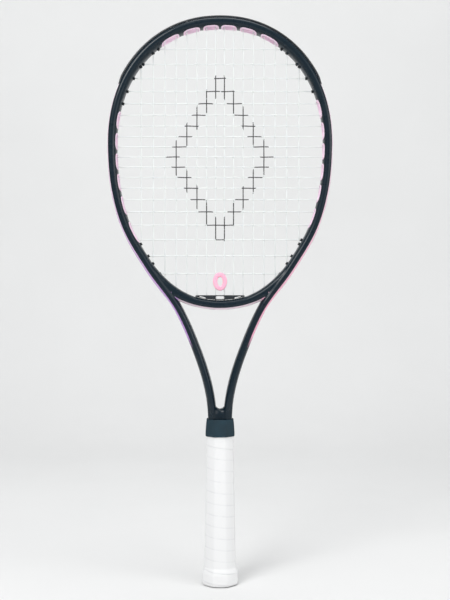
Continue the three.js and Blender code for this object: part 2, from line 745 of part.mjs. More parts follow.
// Turns a closed [flat radius, z] outline into an eight-sided ring.
function ring(profile) {
  const closed = profile[0][0] === 0 ? profile : [...profile, profile[0]];
  const points = closed.map(([radius, z]) => new THREE.Vector2(radius * FLAT_TO_CORNER, z));
  if (ringArea(closed) < 0) {
    points.reverse();
  }
  const geometry = new THREE.LatheGeometry(points, 8, Math.PI / 8);
  geometry.rotateX(Math.PI / 2);
  geometry.scale(1, HANDLE_FLATNESS, 1);
  return solid(geometry);
}

const ringArea = (outline) => THREE.ShapeUtils.area(outline.map(([x, z]) => new THREE.Vector2(x, z)));

const OVERGRIP_INNER = OVERGRIP_THICKNESS;
const BASE_OUTER = OVERGRIP_INNER + THIN_GAP;
const BASE_INNER = BASE_OUTER + BASE_GRIP_THICKNESS;
const PALLET_OUTER = BASE_INNER + THIN_GAP;
const PALLET_RADIUS = HANDLE_HALF_WIDTH - PALLET_OUTER;
const PALLET_BORE = PALLET_RADIUS - PALLET_WALL;
const STEM_RADIUS = PALLET_BORE - GAP;

// Outside of the handle less a layer depth, from a low to a high end.
function handleWall(depth, low, high) {
  const flare = BUTT_HALF_WIDTH - HANDLE_HALF_WIDTH;
  const waist = (FLARE_Z[0] + FLARE_Z[1]) / 2;
  const outline = [
    [BUTT_HALF_WIDTH - BUTT_EDGE, 0], [BUTT_HALF_WIDTH, BUTT_EDGE], [BUTT_HALF_WIDTH, FLARE_Z[0]],
    [HANDLE_HALF_WIDTH + flare * 0.32, waist], [HANDLE_HALF_WIDTH, FLARE_Z[1]],
  ];
  const at = (z) => {
    const next = outline.findIndex((point) => point[1] > z);
    if (next < 0) {
      return HANDLE_HALF_WIDTH;
    }
    const [r0, z0] = outline[next - 1];
    const [r1, z1] = outline[next];
    return r0 + ((r1 - r0) * (z - z0)) / (z1 - z0);
  };
  const between = outline.filter(([, z]) => z > low && z < high);
  return [[at(low), low], ...between, [at(high), high]].map(([r, z]) => [r - depth, z]);
}

function layer(outerDepth, innerDepth, low, high) {
  const outer = handleWall(outerDepth, low, high);
  const inner = handleWall(innerDepth, low, high).reverse();
  return ring([...outer, ...inner]);
}

const OVERGRIP_LOW_Z = 1;
const BASE_LOW_Z = 2;
const makeOvergrip = () => layer(0, OVERGRIP_INNER, OVERGRIP_LOW_Z, HANDLE_TOP_Z);
const makeBaseGrip = () => layer(BASE_OUTER, BASE_INNER, BASE_LOW_Z, HANDLE_TOP_Z - 2);

const CAP_BORE = PALLET_RADIUS - CAP_SLEEVE_WALL;
const LEDGE_RADIUS = CAP_BORE - 1.8;

function makeButtCap() {
  const wall = handleWall(PALLET_OUTER, 0, CAP_TOP_Z);
  const inside = [
    [CAP_BORE, CAP_TOP_Z], [CAP_BORE, CAP_LEDGE_Z[1]], [LEDGE_RADIUS, CAP_LEDGE_Z[1]],
    [LEDGE_RADIUS, CAP_LEDGE_Z[0]], [CAP_BORE, CAP_LEDGE_Z[0]], [CAP_BORE, 0],
  ];
  return ring([...wall, ...inside]).subtract(joined(STAPLE_SIDES.map((side) => staple(side, THIN_GAP))));
}

function makeDoor() {
  const plateTop = CAP_LEDGE_Z[0] - GAP;
  const plate = ring([[0, 0], [CAP_BORE - GAP, 0], [CAP_BORE - GAP, plateTop], [0, plateTop]]);
  const LEG = { half: 3, thick: 1.4, top: 6.5 };
  const reach = LEDGE_RADIUS - GAP;
  const legs = [-1, 1].map((sign) => {
    const x = [sign * reach, sign * (reach - LEG.thick)].sort((a, b) => a - b);
    return box(x, [-LEG.half, LEG.half], [plateTop / 2, LEG.top]);
  });
  return joined([plate, ...legs]);
}

const PALLET_LOW_Z = 7;
const SPLIT_GAP = 0.3;

function makePallet(sign) {
  const sleeve = ring([
    [PALLET_BORE, PALLET_LOW_Z], [CAP_BORE - THIN_GAP, PALLET_LOW_Z],
    [CAP_BORE - THIN_GAP, CAP_TOP_Z + GAP], [PALLET_RADIUS, CAP_TOP_Z + GAP],
    [PALLET_RADIUS, HANDLE_TOP_Z - 2], [PALLET_BORE, HANDLE_TOP_Z - 2],
  ]);
  const far = 2 * BUTT_HALF_WIDTH;
  const half = sign < 0 ? [-far, -SPLIT_GAP / 2] : [SPLIT_GAP / 2, far];
  const kept = sleeve.intersect(box([-far, far], half, [0, HANDLE_TOP_Z]));
  return kept.subtract(joined(STAPLE_SIDES.map((side) => staple(side, THIN_GAP))));
}

const STAPLE_SIDES = [-1, 1];
const STAPLE = { z: 33, halfCrown: 5, wire: 0.6 };

// A U-shaped staple through the cap sleeve into the pallet; grow widens it into its own pocket.
function staple(sign, grow) {
  const outside = PALLET_RADIUS + grow;
  const crown = PALLET_RADIUS - STAPLE.wire - grow;
  const point = PALLET_BORE + (grow ? -grow : THIN_GAP);
  const along = (from, to) => [sign * from, sign * to].sort((a, b) => a - b);
  const tall = [STAPLE.z - STAPLE.wire / 2 - grow, STAPLE.z + STAPLE.wire / 2 + grow];
  const bodies = [box(along(outside, crown), [-STAPLE.halfCrown - grow, STAPLE.halfCrown + grow], tall)];
  for (const end of [-1, 1]) {
    const leg = [end * (STAPLE.halfCrown + grow), end * (STAPLE.halfCrown - STAPLE.wire - grow)];
    bodies.push(box(along(outside, point), leg.sort((a, b) => a - b), tall));
  }
  return joined(bodies);
}

function makeTape() {
  const inner = HANDLE_HALF_WIDTH + THIN_GAP;
  const outer = inner + TAPE_THICKNESS;
  return ring([[inner, TAPE_Z[0]], [outer, TAPE_Z[0]], [outer, TAPE_Z[1]], [inner, TAPE_Z[1]]]);
}

const COLLAR_WALL = 0.6;
const COLLAR_RIM = 1.3; // wall at the thick top rim

function makeCollar() {
  const [low, high] = COLLAR_Z;
  const skirt = HANDLE_HALF_WIDTH + 2 * THIN_GAP + TAPE_THICKNESS;
  const neck = SHAFT_RADIUS + GAP;
  const step = HANDLE_TOP_Z + 1.5;
  return ring([
    [skirt, low], [skirt + COLLAR_WALL, low + 1.5], [skirt + COLLAR_WALL, low + 5],
    [neck + COLLAR_RIM, high], [neck, high], [neck, step], [skirt, step],
  ]);
}

// ---- assembly ----
const racket = new THREE.Group();
racket.add(mesh("frame", makeFrame(), frameLacquer));
const counts = {};
for (const port of ports) {
  counts[port.name] = (counts[port.name] ?? 0) + 1;
  racket.add(mesh(`port_liner_${port.name}_${counts[port.name]}`, makeLiner(port), pinkPlastic));
}
racket.add(
  mesh("bumper_guard", makeBumper(), blackPlastic),
  mesh("grommet_strip_left", makeShoulderStrip("left"), blackPlastic),
  mesh("grommet_strip_right", makeShoulderStrip("right"), blackPlastic),
  mesh("throat_grommet_strip", makeThroatStrip(), blackPlastic),
  mesh("bridge_insert", makeInsert(), blackPlastic),
  mesh("main_string", makeMainString(), stringNylon),
  mesh("cross_string", makeCrossString(), stringNylon),
  mesh("vibration_dampener", makeDampener(), pinkRubber),
  mesh("rubber_collar", makeCollar(), darkRubber),
  mesh("finishing_tape", makeTape(), tapeFilm),
  mesh("overgrip", makeOvergrip(), whiteWrap),
  mesh("base_grip", makeBaseGrip(), greyGrip),
  mesh("pallet_front", makePallet(-1), palletFoam),
  mesh("pallet_back", makePallet(1), palletFoam),
  mesh("butt_cap", makeButtCap(), blackPlastic),
  mesh("butt_cap_door", makeDoor(), blackPlastic),
  mesh("staple_left", staple(-1, 0), steel),
  mesh("staple_right", staple(1, 0), steel),
);

export default racket;
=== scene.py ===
"""Tennis racket: the finished surfaces of a strung racket, built around its fixed frame of parts.

The file is laid out as an add-on. Every operator makes one piece, or one group of like pieces.
"""
import math

import bmesh
import bpy
from bpy.props import FloatProperty, FloatVectorProperty, IntProperty, PointerProperty
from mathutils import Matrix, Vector


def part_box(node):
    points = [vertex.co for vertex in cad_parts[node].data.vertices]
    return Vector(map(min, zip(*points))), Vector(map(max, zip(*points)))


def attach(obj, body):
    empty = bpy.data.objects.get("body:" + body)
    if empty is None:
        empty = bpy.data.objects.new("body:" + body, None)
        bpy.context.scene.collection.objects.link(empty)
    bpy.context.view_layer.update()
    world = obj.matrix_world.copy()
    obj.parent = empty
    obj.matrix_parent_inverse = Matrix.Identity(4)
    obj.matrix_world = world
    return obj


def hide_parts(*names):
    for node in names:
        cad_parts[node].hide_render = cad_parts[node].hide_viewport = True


bl_info = {
    "name": "Tennis Racket",
    "version": (1, 0, 0),
    "blender": (4, 5, 0),
    "location": "3D View > Sidebar > Racket",
    "description": "Makes a strung tennis racket with string ports, a wrapped grip and a studio stage",
    "category": "Add Mesh",
}

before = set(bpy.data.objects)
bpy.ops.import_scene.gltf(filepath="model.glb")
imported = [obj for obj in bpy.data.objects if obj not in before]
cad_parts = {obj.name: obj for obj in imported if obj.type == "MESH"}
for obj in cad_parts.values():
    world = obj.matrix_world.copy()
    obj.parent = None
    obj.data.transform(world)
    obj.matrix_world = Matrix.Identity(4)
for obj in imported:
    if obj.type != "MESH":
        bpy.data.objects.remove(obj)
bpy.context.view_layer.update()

MM = 0.001
ROOT = "racket"

# ---- fixed lines of the racket, in millimetres, shared by every piece ----
HEAD_CENTRE_Z = 531
HEAD_HALF_WIDTH = 130.4
HEAD_RISE = 147
HEAD_ROUNDNESS = 2.12
SHOULDER = [(126.4, 477.9), (113, 430), (85, 381.4)]
ARM = [(50.7, 333.1), (28.5, 283.7), (16.2, 246.7), (11, 221.6), (9.4, 203), (9.4, 186)]
TUBE_HALF_WIDTH = 6
TUBE_HALF_DEPTH = 11.5
ARM_HALF_WIDTH = 5.3
ARM_HALF_DEPTH = 11
GROOVE_DEPTH = 2.6
GROOVE_HALF_WIDTH = 2.7
BRIDGE_Z = 336.8
BRIDGE_RADIUS = 114.6
BRIDGE_REACH = 58
BRIDGE_HALF_DEPTH = 10
MAINS = 16
MAIN_PITCH = 10.4
MAIN_SPREAD = 0.31
CROSSES = 19
CROSS_MIDDLE_Z = 516
CROSS_PITCH = 12.2
CROSS_SPREAD_UP = 0.0283
CROSS_SPREAD_DOWN = 0.043
RUN_OFFSET = 1
RUN_OUT = 5.35
PORT_HALF_HEIGHT = 7
PORT_MARGIN = 2.45
HEAD_PORTS = [(-6, -5), (-4, -3), (-2, -1), (1, 2), (3, 4), (5, 6)]
LEFT_PORTS = [(6, 7), (8, 9), (10, 11), (12, 13), (14, 15), (16, 17)]
RIGHT_PORTS = [(5, 6), (7, 8), (9, 10), (11, 12), (13, 14), (15, 16)]
BARREL_OUT = -6.8
CORNER_OUT = -11.4
BARREL_NOSE = 1.2
CORNER_MAIN = 5
BRIDGE_MAINS = 4
HEAD_PORT_MAINS = 6
STRIP_TOP = 4.4
BUMPER_END_Z = 601
HANDLE_FLATNESS = 0.89
SPLINE_STEPS = 60
RAIL_STEPS = 3000
HOLE_RADIUS = 1.95
BARREL_RADIUS = 1.8
BRIDGE_BARREL_RADIUS = 1.7
BARREL_BORE_RADIUS = 1.0


# ---- sizes and colours that a user may change ----
def length(name, description, millimetres):
    return FloatProperty(name=name, description=description, default=millimetres * MM, unit="LENGTH")


class RacketSizes(bpy.types.PropertyGroup):
    string: length("String", "Diameter of the strings", 1.3)
    main_swing: length("Main swing", "How far a main bends round a cross", 0.6)
    cross_swing: length("Cross swing", "How far a cross bends round a main", 0.82)
    wrap_pitch: length("Wrap pitch", "Advance of the overgrip for each turn", 13.5)
    wrap_step: length("Wrap step", "Height of the overlapping edge of the wrap", 0.5)
    ridge: length("Ridge", "Height of the crease along the front of the tube", 0.35)
    flange: length("Flange", "Width of the lip round each string port", 1.5)
    tube_steps: IntProperty(name="Tube steps", description="Rings along the hoop and arms",
                            default=420, min=60)


def colour(name, description, value):
    return FloatVectorProperty(name=name, description=description, subtype="COLOR", size=3,
                               default=value, min=0, max=1)


class RacketColours(bpy.types.PropertyGroup):
    lacquer: colour("Lacquer", "Dark teal lacquer of the frame", (0.0020, 0.0105, 0.0185))
    lacquer_light: colour("Lacquer tint", "Teal shimmer in the lacquer", (0.006, 0.032, 0.044))
    stripe_pale: colour("Pale stripe", "Side stripe at the head", (0.86, 0.70, 0.78))
    stripe_deep: colour("Deep stripe", "Side stripe at the right shoulder", (0.84, 0.40, 0.54))
    stripe_left: colour("Left stripe", "Side stripe at the left shoulder", (0.48, 0.26, 0.62))
    port: colour("Port lining", "Linings of the string ports", (0.88, 0.66, 0.80))
    plastic: colour("Plastic", "Bumper, grommets and bridge spacer", (0.012, 0.016, 0.020))
    string: colour("String", "Strings", (0.78, 0.81, 0.80))
    stencil: colour("Stencil", "Ink of the plain stencil on the strings", (0.012, 0.012, 0.014))
    rubber: colour("Dampener", "Silicone of the dampener", (0.93, 0.46, 0.60))
    collar: colour("Collar", "Rubber collar", (0.003, 0.024, 0.038))
    wrap: colour("Overgrip", "Overgrip", (0.80, 0.80, 0.80))
    foam: colour("Pallet", "Foam of the pallet", (0.58, 0.50, 0.36))
    base: colour("Base grip", "Base grip", (0.09, 0.095, 0.10))
    floor: colour("Floor", "Floor and backdrop", (0.80, 0.80, 0.795))


# ---- centre line ----
def head_point(angle):
    power = 2 / HEAD_ROUNDNESS
    x = HEAD_HALF_WIDTH * math.cos(angle) ** power
    return x, HEAD_CENTRE_Z + HEAD_RISE * math.sin(angle) ** power


def curve_between(p0, p1, p2, p3, count):
    """Points of the centripetal spline from p1 up to p2."""
    d0, d1, d2 = ((b - a).length ** 0.5 for a, b in ((p0, p1), (p1, p2), (p2, p3)))
    m1 = ((p1 - p0) / d0 - (p2 - p0) / (d0 + d1) + (p2 - p1) / d1) * d1
    m2 = ((p2 - p1) / d1 - (p3 - p1) / (d1 + d2) + (p3 - p2) / d2) * d1
    points = []
    for i in range(count):
        t = i / count
        points.append(p1 + m1 * t + (3 * (p2 - p1) - 2 * m1 - m2) * t ** 2
                      + (2 * (p1 - p2) + m1 + m2) * t ** 3)
    return points


class Place:
    """A place on the tube's centre line: its point, and the way out of the hoop in the string plane."""

    def __init__(self, at, point, tangent):
        self.at = at
        self.point = point
        self.outward = Vector((tangent.z, 0, -tangent.x))

    def out(self, distance, back=0.0):
        spot = self.point + self.outward * distance
        spot.y = back
        return spot


class Rail:
    """The tube's centre line, up the right arm, round the head and down the left arm."""

    def __init__(self):
        steps = 8
        head = [head_point(i * math.pi / 2 / steps) for i in range(steps)]
        right = ARM[::-1] + SHOULDER[::-1] + head
        outline = right + [(0, HEAD_CENTRE_Z + HEAD_RISE)] + [(-x, z) for x, z in reversed(right)]
        knots = [Vector((x, 0, z)) for x, z in outline]
        knots = [2 * knots[0] - knots[1]] + knots + [2 * knots[-1] - knots[-2]]
        dense = []
        for i in range(len(knots) - 3):
            dense += curve_between(*knots[i:i + 4], SPLINE_STEPS)
        dense.append(knots[-2])
        self.dense = dense
        self.lengths = [0]
        for a, b in zip(dense, dense[1:]):
            self.lengths.append(self.lengths[-1] + (b - a).length)
        self.length = self.lengths[-1]
        self.places = self.spaced(0, 1, RAIL_STEPS)

    def spaced(self, start, end, count):
        """Evenly spaced places from one share of the line to another."""
        places = []
        index = 0
        for i in range(count + 1):
            share = start + (end - start) * i / count
            goal = min(max(share, 0), 1) * self.length
            while index < len(self.dense) - 2 and self.lengths[index + 1] < goal:
                index += 1
            a, b = self.dense[index], self.dense[index + 1]
            part = (goal - self.lengths[index]) / (self.lengths[index + 1] - self.lengths[index])
            before = self.dense[max(index - 1, 0)]
            after = self.dense[min(index + 2, len(self.dense) - 1)]
            tangent = ((b - before).normalized().lerp((after - a).normalized(), part)).normalized()
            places.append(Place(share, a.lerp(b, part), tangent))
        return places

    def where(self, axis, value, out, start, end):
        """The first place between two shares where the line at this offset meets the value."""
        first = round(start * RAIL_STEPS)
        last = round(end * RAIL_STEPS)
        for i in range(first, last):
            here = self.places[i].out(out)[axis] - value
            after = self.places[i + 1].out(out)[axis] - value
            if here * after <= 0:
                part = here / (here - after) if here != after else 0
                return self.spaced(self.places[i].at, self.places[i + 1].at, 8)[round(8 * part)]
        raise ValueError(f"no place where axis {axis} is {value}")

    def height(self, side, z, out):
        span = (0.02, 0.5) if side == "right" else (0.5, 0.98)
        return self.where(2, z, out, *span)

    def head(self, x, out):
        return self.where(0, x, out, 0.3, 0.7)

    def shoulder(self, x, out):
        span = (0.02, 0.4) if x > 0 else (0.6, 0.98)
        return self.where(0, x, out, *span)


RAIL = Rail()


def main_x(number):
    steps = abs(number) - 0.5
    return math.copysign(MAIN_PITCH * steps + MAIN_SPREAD * steps ** 2, number)


def cross_z(number):
    steps = number - (CROSSES + 1) / 2
    spread = CROSS_SPREAD_DOWN if steps > 0 else CROSS_SPREAD_UP
    return CROSS_MIDDLE_Z - CROSS_PITCH * steps - spread * steps ** 3


def bridge_point(x, down, back=0.0):
    """A point under the bridge's centre line, measured square to it."""
    angle = math.asin(x / BRIDGE_RADIUS)
    z = BRIDGE_Z + BRIDGE_RADIUS * (1 - math.cos(angle)) - down / math.cos(angle)
    return Vector((x, back, z))


# ---- mesh helpers ----
def new_object(name, bm, materials, smooth=True, angle=math.radians(35)):
    """Turns a bmesh in millimetres into a finished object in metres, at the origin."""
    bmesh.ops.recalc_face_normals(bm, faces=bm.faces)
    bmesh.ops.scale(bm, vec=(MM, MM, MM), verts=bm.verts)
    mesh = bpy.data.meshes.new(name)
    bm.to_mesh(mesh)
    bm.free()
    piece = bpy.data.objects.new(name, mesh)
    bpy.context.scene.collection.objects.link(piece)
    for material in materials:
        mesh.materials.append(material)
    if smooth:
        mesh.shade_smooth()
        mesh.set_sharp_from_angle(angle=angle)
    return piece


def finish_piece(piece, slot, *nodes, body=ROOT):
    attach(piece, body)
    if nodes:
        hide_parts(*nodes)
    return piece


def ring_of(bm, points):
    verts = [bm.verts.new(point) for point in points]
    edges = [bm.edges.new((verts[i], verts[(i + 1) % len(verts)])) for i in range(len(verts))]
    return verts, edges


def loft(bm, loops, capped=True, closed=False):
    """Extrudes the first loop of points through the others, and caps or closes the run."""
    uv = bm.loops.layers.uv.get("wrap") or bm.loops.layers.uv.new("wrap")
    verts, edges = ring_of(bm, loops[0])
    first_verts, first_edges = verts, edges
    count = len(verts)
    total = len(loops) - 1 + (1 if closed else 0)
    for step, points in enumerate(loops[1:], 1):
        grown = bmesh.ops.extrude_edge_only(bm, edges=edges)["geom"]
        fresh = [item for item in grown if isinstance(item, bmesh.types.BMVert)]
        new_edges = [item for item in grown if isinstance(item, bmesh.types.BMEdge)]
        partner = {}
        for vert in fresh:
            for edge in vert.link_edges:
                other = edge.other_vert(vert)
                if other in verts:
                    partner[other] = vert
        next_verts = [partner[vert] for vert in verts]
        for vert, point in zip(next_verts, points):
            vert.co = point
        paint_band(verts, next_verts, uv, count, (step - 1) / total, step / total)
        row = set(next_verts)
        verts = next_verts
        edges = [edge for edge in new_edges if edge.verts[0] in row and edge.verts[1] in row]
    if closed:
        bmesh.ops.bridge_loops(bm, edges=edges + first_edges)
        paint_band(verts, first_verts, uv, count, (total - 1) / total, 1)
    elif capped:
        bm.faces.new(first_verts)
        bm.faces.new(verts)
    return verts


def paint_band(low, high, uv, count, low_v, high_v):
    """Writes the wrap coordinates of the faces between two rows."""
    place = {vert: (i, low_v) for i, vert in enumerate(low)}
    place.update({vert: (i, high_v) for i, vert in enumerate(high)})
    faces = {face for vert in high for face in vert.link_faces if all(v in place for v in face.verts)}
    for face in faces:
        columns = [place[vert][0] for vert in face.verts]
        wraps = max(columns) - min(columns) > 1
        for loop in face.loops:
            column, height = place[loop.vert]
            if wraps and column == 0:
                column = count
            loop[uv].uv = (height, column / count)


def baked(piece):
    """Applies the modifiers of a piece to its mesh."""
    graph = bpy.context.evaluated_depsgraph_get()
    mesh = bpy.data.meshes.new_from_object(piece.evaluated_get(graph))
    piece.modifiers.clear()
    piece.data = mesh
    return piece


def boolean(piece, cutter_bm, operation):
    """Cuts or joins a piece with the shapes in a bmesh, in millimetres."""
    cutter = new_object("cutter", cutter_bm, [], smooth=False)
    tool = piece.modifiers.new("cut", "BOOLEAN")
    tool.operation = operation
    tool.solver = "EXACT"
    tool.use_self = True
    tool.object = cutter
    baked(piece)
    bpy.data.objects.remove(cutter)
    return piece


def join_meshes(target, *others):
    """Adds the meshes of other objects to the target as loose shells."""
    bm = bmesh.new()
    bm.from_mesh(target.data)
    for other in others:
        bm.from_mesh(other.data)
        bpy.data.objects.remove(other)
    bm.to_mesh(target.data)
    bm.free()
    return target


def tube_between(bm, start, end, radius, bore, sides=20, lip=0.25):
    """A short open tube with rounded ends, lofted round its wall."""
    along = (end - start).normalized()
    aside = along.orthogonal().normalized()
    across = along.cross(aside)
    length = (end - start).length
    wall = [(bore, lip), (bore + lip, 0), (radius - lip, 0), (radius, lip),
            (radius, length - lip), (radius - lip, length), (bore + lip, length), (bore, length - lip)]
    loops = []
    for distance, height in wall:
        loops.append([start + along * height
                      + (aside * math.cos(a) + across * math.sin(a)) * distance
                      for a in (2 * math.pi * i / sides for i in range(sides))])
    loft(bm, loops, closed=True)


# ---- shader groups ----
def socket(group, name, direction, kind, default=None):
    item = group.interface.new_socket(name=name, in_out=direction, socket_type=kind)
    if default is not None:
        item.default_value = default
    return item


class Nodes:
    """Short names for adding and wiring shader nodes."""

    def __init__(self, tree):
        self.tree = tree

    def add(self, kind, **settings):
        node = self.tree.nodes.new(kind)
        for key, value in settings.items():
            setattr(node, key, value)
        return node

    def wire(self, source, target):
        self.tree.links.new(source, target)

    def feed(self, node, **inputs):
        for key, value in inputs.items():
            numbered = key[0] == "i" and key[1:].isdigit()
            target = node.inputs[int(key[1:]) if numbered else key]
            if isinstance(value, bpy.types.NodeSocket):
                self.wire(value, target)
            else:
                target.default_value = value
        return node

    def math(self, operation, a, b=0.5, clamp=False):
        node = self.add("ShaderNodeMath", operation=operation, use_clamp=clamp)
        return self.feed(node, i0=a, i1=b).outputs[0]

    def mix(self, factor, a, b):
        node = self.add("ShaderNodeMix", data_type="RGBA")
        for index, value in ((0, factor), (6, a), (7, b)):
            self.feed(node, **{f"i{index}": value})
        return node.outputs[2]

    def noise(self, vector, scale, detail=3.0, roughness=0.55):
        node = self.add("ShaderNodeTexNoise")
        self.feed(node, Vector=vector, Scale=scale, Detail=detail, Roughness=roughness)
        return node.outputs["Fac"]

    def span(self, value, low, high, to_low=0.0, to_high=1.0):
        node = self.add("ShaderNodeMapRange")
        self.feed(node, i0=value, i1=low, i2=high, i3=to_low, i4=to_high)
        return node.outputs[0]


def grain_group():
    """Fine moulded or rubbery grain: a height, a roughness and a slow mottling, from the piece's own place."""
    group = bpy.data.node_groups.get("Fine Grain")
    if group:
        return group
    group = bpy.data.node_groups.new("Fine Grain", "ShaderNodeTree")
    socket(group, "Grain Scale", "INPUT", "NodeSocketFloat", 2500.0)
    socket(group, "Mottle Scale", "INPUT", "NodeSocketFloat", 60.0)
    socket(group, "Roughness", "INPUT", "NodeSocketFloat", 0.4)
    socket(group, "Variation", "INPUT", "NodeSocketFloat", 0.1)
    socket(group, "Height", "OUTPUT", "NodeSocketFloat")
    socket(group, "Roughness", "OUTPUT", "NodeSocketFloat")
    socket(group, "Mottle", "OUTPUT", "NodeSocketFloat")
    kit = Nodes(group)
    entry = kit.add("NodeGroupInput")
    leave = kit.add("NodeGroupOutput")
    spot = kit.add("ShaderNodeTexCoord").outputs["Object"]
    fine = kit.noise(spot, entry.outputs["Grain Scale"], 2.0)
    slow = kit.noise(spot, entry.outputs["Mottle Scale"], 4.0)
    centred = kit.math("SUBTRACT", slow, 0.5)
    shift = kit.math("MULTIPLY", centred, entry.outputs["Variation"])
    rough = kit.math("ADD", entry.outputs["Roughness"], shift, clamp=True)
    kit.wire(fine, leave.inputs["Height"])
    kit.wire(rough, leave.inputs["Roughness"])
    kit.wire(slow, leave.inputs["Mottle"])
    return group


def socket_name(key):
    return key.replace("_", " ").title().replace("Ior", "IOR")


def material_base(name, **surface):
    """A material with one Principled shader and constant settings on its sockets."""
    material = bpy.data.materials.new(name)
    material.use_nodes = True
    kit = Nodes(material.node_tree)
    shader = material.node_tree.nodes["Principled BSDF"]
    for key, value in surface.items():
        shader.inputs[socket_name(key)].default_value = value
    return material, kit, shader


def add_grain(kit, shader, tone, depth, tint=0.18, **inputs):
    """Wires the grain group to roughness, bump and a slight tint of the colour."""
    node = kit.add("ShaderNodeGroup", node_tree=grain_group())
    for key, value in inputs.items():
        node.inputs[socket_name(key)].default_value = value
    kit.wire(node.outputs["Roughness"], shader.inputs["Roughness"])
    bump = kit.add("ShaderNodeBump")
    kit.feed(bump, Strength=0.5, Distance=depth, Height=node.outputs["Height"])
    kit.wire(bump.outputs["Normal"], shader.inputs["Normal"])
    shade = kit.span(node.outputs["Mottle"], 0.3, 0.7, 1 - tint, 1 + tint)
    tinted = kit.add("ShaderNodeVectorMath", operation="SCALE")
    kit.feed(tinted, i0=tone, Scale=shade)
    kit.wire(tinted.outputs[0], shader.inputs["Base Color"])
    return bump


def palette():
    return bpy.context.scene.racket_colours


def lacquer_material():
    """Dark teal lacquer with a faint shimmer and a pink stripe on the outside wall of the hoop."""
    material, kit, shader = material_base("frame_lacquer", coat_weight=0.22, coat_roughness=0.07,
                                          specular_ior_level=0.2)
    coords = kit.add("ShaderNodeTexCoord")
    wrap = kit.add("ShaderNodeUVMap", uv_map="wrap")
    split = kit.add("ShaderNodeSeparateXYZ")
    kit.wire(wrap.outputs["UV"], split.inputs[0])
    place = kit.add("ShaderNodeSeparateXYZ")
    kit.wire(coords.outputs["Object"], place.inputs[0])
    around = split.outputs["Y"]
    height = place.outputs["Z"]
    # The stripe covers the outside wall, either side of the groove, and thins out down the arms.
    turned = kit.math("FRACT", kit.math("ADD", around, 0.5))
    from_outside = kit.math("ABSOLUTE", kit.math("SUBTRACT", turned, 0.5))
    sideways = kit.math("ABSOLUTE", place.outputs["X"])
    near_axis = kit.math("LESS_THAN", sideways, 0.05)
    under = kit.math("MULTIPLY", near_axis, kit.math("GREATER_THAN", height, 0.3285))
    reach = kit.span(height, 0.36, 0.62, 0.183, 0.135)
    wide = kit.math("SUBTRACT", reach, kit.math("MULTIPLY", under, 0.012))
    inside_band = kit.math("LESS_THAN", from_outside, wide)
    above = kit.span(height, 0.285, 0.300)
    band = kit.math("MULTIPLY", inside_band, above, clamp=True)
    pigment = palette()
    deepness = kit.span(height, 0.33, 0.52, 1.0, 0.0)
    leftwards = kit.span(place.outputs["X"], -0.04, 0.04, 1.0, 0.0)
    deep = kit.mix(leftwards, (*pigment.stripe_deep, 1), (*pigment.stripe_left, 1))
    stripe = kit.mix(kit.math("MULTIPLY", deepness, kit.math("SUBTRACT", 1.0, under)),
                     (*pigment.stripe_pale, 1), deep)
    flake = kit.add("ShaderNodeTexVoronoi")
    kit.feed(flake, Vector=coords.outputs["Object"], Scale=2600.0)
    shimmer = kit.span(flake.outputs["Distance"], 0.0, 0.35, 0.55, 0.0)
    slow = kit.noise(coords.outputs["Object"], 14.0)
    tone = kit.math("MULTIPLY", shimmer, kit.span(slow, 0.35, 0.65, 0.2, 1.0))
    body = kit.mix(tone, (*pigment.lacquer, 1), (*pigment.lacquer_light, 1))
    colour_out = kit.mix(band, body, stripe)
    kit.wire(colour_out, shader.inputs["Base Color"])
    rough = kit.span(kit.noise(coords.outputs["Object"], 90.0), 0.3, 0.7, 0.24, 0.34)
    kit.wire(rough, shader.inputs["Roughness"])
    ripple = kit.add("ShaderNodeBump")
    kit.feed(ripple, Strength=0.12, Distance=0.0002, Height=kit.noise(coords.outputs["Object"],
                                                                      260.0, 1.0))
    kit.wire(ripple.outputs["Normal"], shader.inputs["Normal"])
    return material


def plastic_material():
    material, kit, shader = material_base("black_plastic", specular_ior_level=0.45)
    add_grain(kit, shader, palette().plastic, 0.00006, grain_scale=3200.0, roughness=0.42,
              variation=0.16)
    return material


def port_material():
    material, kit, shader = material_base("pink_plastic", subsurface_weight=0.08,
                                          specular_ior_level=0.5)
    shader.inputs["Subsurface Radius"].default_value = (0.004, 0.002, 0.002)
    add_grain(kit, shader, palette().port, 0.00003, tint=0.05, grain_scale=2600.0, roughness=0.36,
              variation=0.1)
    return material


def string_material():
    """Pale monofilament with a plain hollow lozenge inked on the middle of the bed."""
    material, kit, shader = material_base("string", subsurface_weight=0.1, specular_ior_level=0.55,
                                          coat_weight=0.25, coat_roughness=0.2)
    shader.inputs["Subsurface Radius"].default_value = (0.002, 0.002, 0.0015)
    coords = kit.add("ShaderNodeTexCoord").outputs["Object"]
    place = kit.add("ShaderNodeSeparateXYZ")
    kit.wire(coords, place.inputs[0])
    ragged = kit.span(kit.noise(coords, 500.0), 0.3, 0.7, -0.02, 0.02)
    side = kit.math("DIVIDE", kit.math("ABSOLUTE", place.outputs["X"]), 0.066)
    tall = kit.math("DIVIDE", kit.math("ABSOLUTE", kit.math("SUBTRACT", place.outputs["Z"], 0.515)),
                    0.108)
    reach = kit.math("ADD", kit.math("ADD", side, tall), ragged)
    inked = kit.math("MULTIPLY", kit.math("LESS_THAN", reach, 1.0), kit.math("GREATER_THAN", reach,
                                                                             0.74))
    worn = kit.span(kit.noise(coords, 900.0), 0.25, 0.42)
    mask = kit.math("MULTIPLY", inked, worn, clamp=True)
    tone = kit.mix(mask, (*palette().string, 1), (*palette().stencil, 1))
    add_grain(kit, shader, tone, 0.00002, tint=0.05, grain_scale=1800.0, roughness=0.34, variation=0.12)
    return material


def silicone_material():
    material, kit, shader = material_base("pink_rubber", subsurface_weight=0.35,
                                          specular_ior_level=0.45)
    shader.inputs["Subsurface Radius"].default_value = (0.006, 0.002, 0.003)
    add_grain(kit, shader, palette().rubber, 0.00003, tint=0.04, grain_scale=1500.0, roughness=0.4,
              variation=0.1)
    return material


